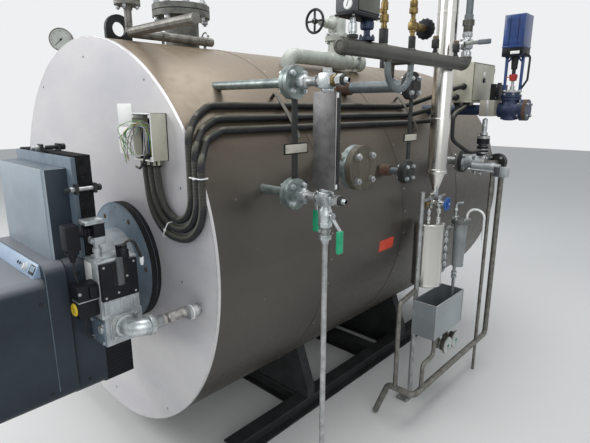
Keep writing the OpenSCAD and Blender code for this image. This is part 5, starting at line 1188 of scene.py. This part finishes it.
block((kx - 144, ky - 78.2, kz - 35), (kx - 61.4, ky - 76.8, kz + 55), "claddingDull", .5)
block((kx - 62.4, ky - 78, kz - 34), (kx - 60.8, ky + 78, kz + 52), "claddingDull", .5)
block((kx - 144, ky - 78, kz + 53.4), (kx - 92, ky + 78, kz + 55), "claddingDull", .5)
block((kx - 104, ky - 79.4, kz - 34), (kx - 92, ky - 78, kz + 54), "zincPlate", .4)
for y in (ky - 66, ky, ky + 66):
    for z in (kz - 26, kz + 44):
        turned((kx - 60.8, y, z), right, (-.3, 4, .9, 3.6, 1.3, 2), "zincPlate", 10)
finishPiece("cladding_sheets")
block((kx - 67, ky - 71, kz + 60), (kx - 64.2, ky + 114, kz + 137), "blackPlastic", 2)
block((kx - 91, ky - 78.4, kz + 54.6), (kx - 65.4, ky - 76.6, kz + 143), "roughBlack", .5)
hexNut((kx - 78, ky + 20, kz + 142), up, 10, 20, "blackPlastic")
for y in (ky - 62, ky + 105):
    for z in (kz + 68, kz + 129):
        turned((kx - 64.4, y, z), right, (-.3, 4.4, 1.2, 4, 1.6, 2.4), "zincPlate", 12)
finishPiece("relay_lid")
print("feed valve done")

# stage and light
clearSelection()
bpy.ops.mesh.primitive_plane_add(size=40, location=(0, 0, -.002))
floor = bpy.context.object
floor.name = "pale_floor"
floorFinish = bpy.data.materials.new("paleFloor")
floorFinish.use_nodes = True
floorFinish.node_tree.nodes["Principled BSDF"].inputs["Base Color"].default_value = (.72, .72, .71, 1)
floorFinish.node_tree.nodes["Principled BSDF"].inputs["Roughness"].default_value = .8
floor.data.materials.append(floorFinish)

lampValues = {
    "key": dict(spot=(-3600, -3400, 4600), aim=(300, 400, 1000), size=3.2, power=240),
    "fill": dict(spot=(4200, -1800, 2800), aim=(700, 900, 1100), size=3.0, power=55),
    "top": dict(spot=(600, 1200, 5200), aim=(600, 1000, 1000), size=3.5, power=150),
}
for lampName, v in lampValues.items():
    bpy.ops.object.light_add(type="AREA", location=place(*v["spot"]))
    lamp = bpy.context.object
    lamp.name = lampName + "_light"
    lamp.data.size, lamp.data.energy = v["size"], v["power"]
    lamp.rotation_euler = (place(*v["aim"]) - place(*v["spot"])).to_track_quat("-Z", "Y").to_euler()

world = bpy.data.worlds.new("paleRoom")
bpy.context.scene.world = world
world.use_nodes = True
nodes, links = world.node_tree.nodes, world.node_tree.links
lightSky = nodes["Background"]
lightSky.inputs["Color"].default_value = (.9, .95, 1, 1)
lightSky.inputs["Strength"].default_value = .5
seenSky = nodes.new("ShaderNodeBackground")
seenSky.inputs["Color"].default_value = (.86, .87, .88, 1)
path = nodes.new("ShaderNodeLightPath")
first, second = nodes.new("ShaderNodeMath"), nodes.new("ShaderNodeMath")
first.operation = second.operation = "MAXIMUM"
links.new(path.outputs["Is Camera Ray"], first.inputs[0])
links.new(path.outputs["Is Glossy Ray"], first.inputs[1])
links.new(first.outputs[0], second.inputs[0])
links.new(path.outputs["Is Transmission Ray"], second.inputs[1])
mixed = nodes.new("ShaderNodeMixShader")
links.new(second.outputs[0], mixed.inputs[0])
links.new(lightSky.outputs[0], mixed.inputs[1])
links.new(seenSky.outputs[0], mixed.inputs[2])
links.new(mixed.outputs[0], nodes["World Output"].inputs["Surface"])
bpy.context.scene.view_settings.view_transform = "Standard"
print("stage ready")
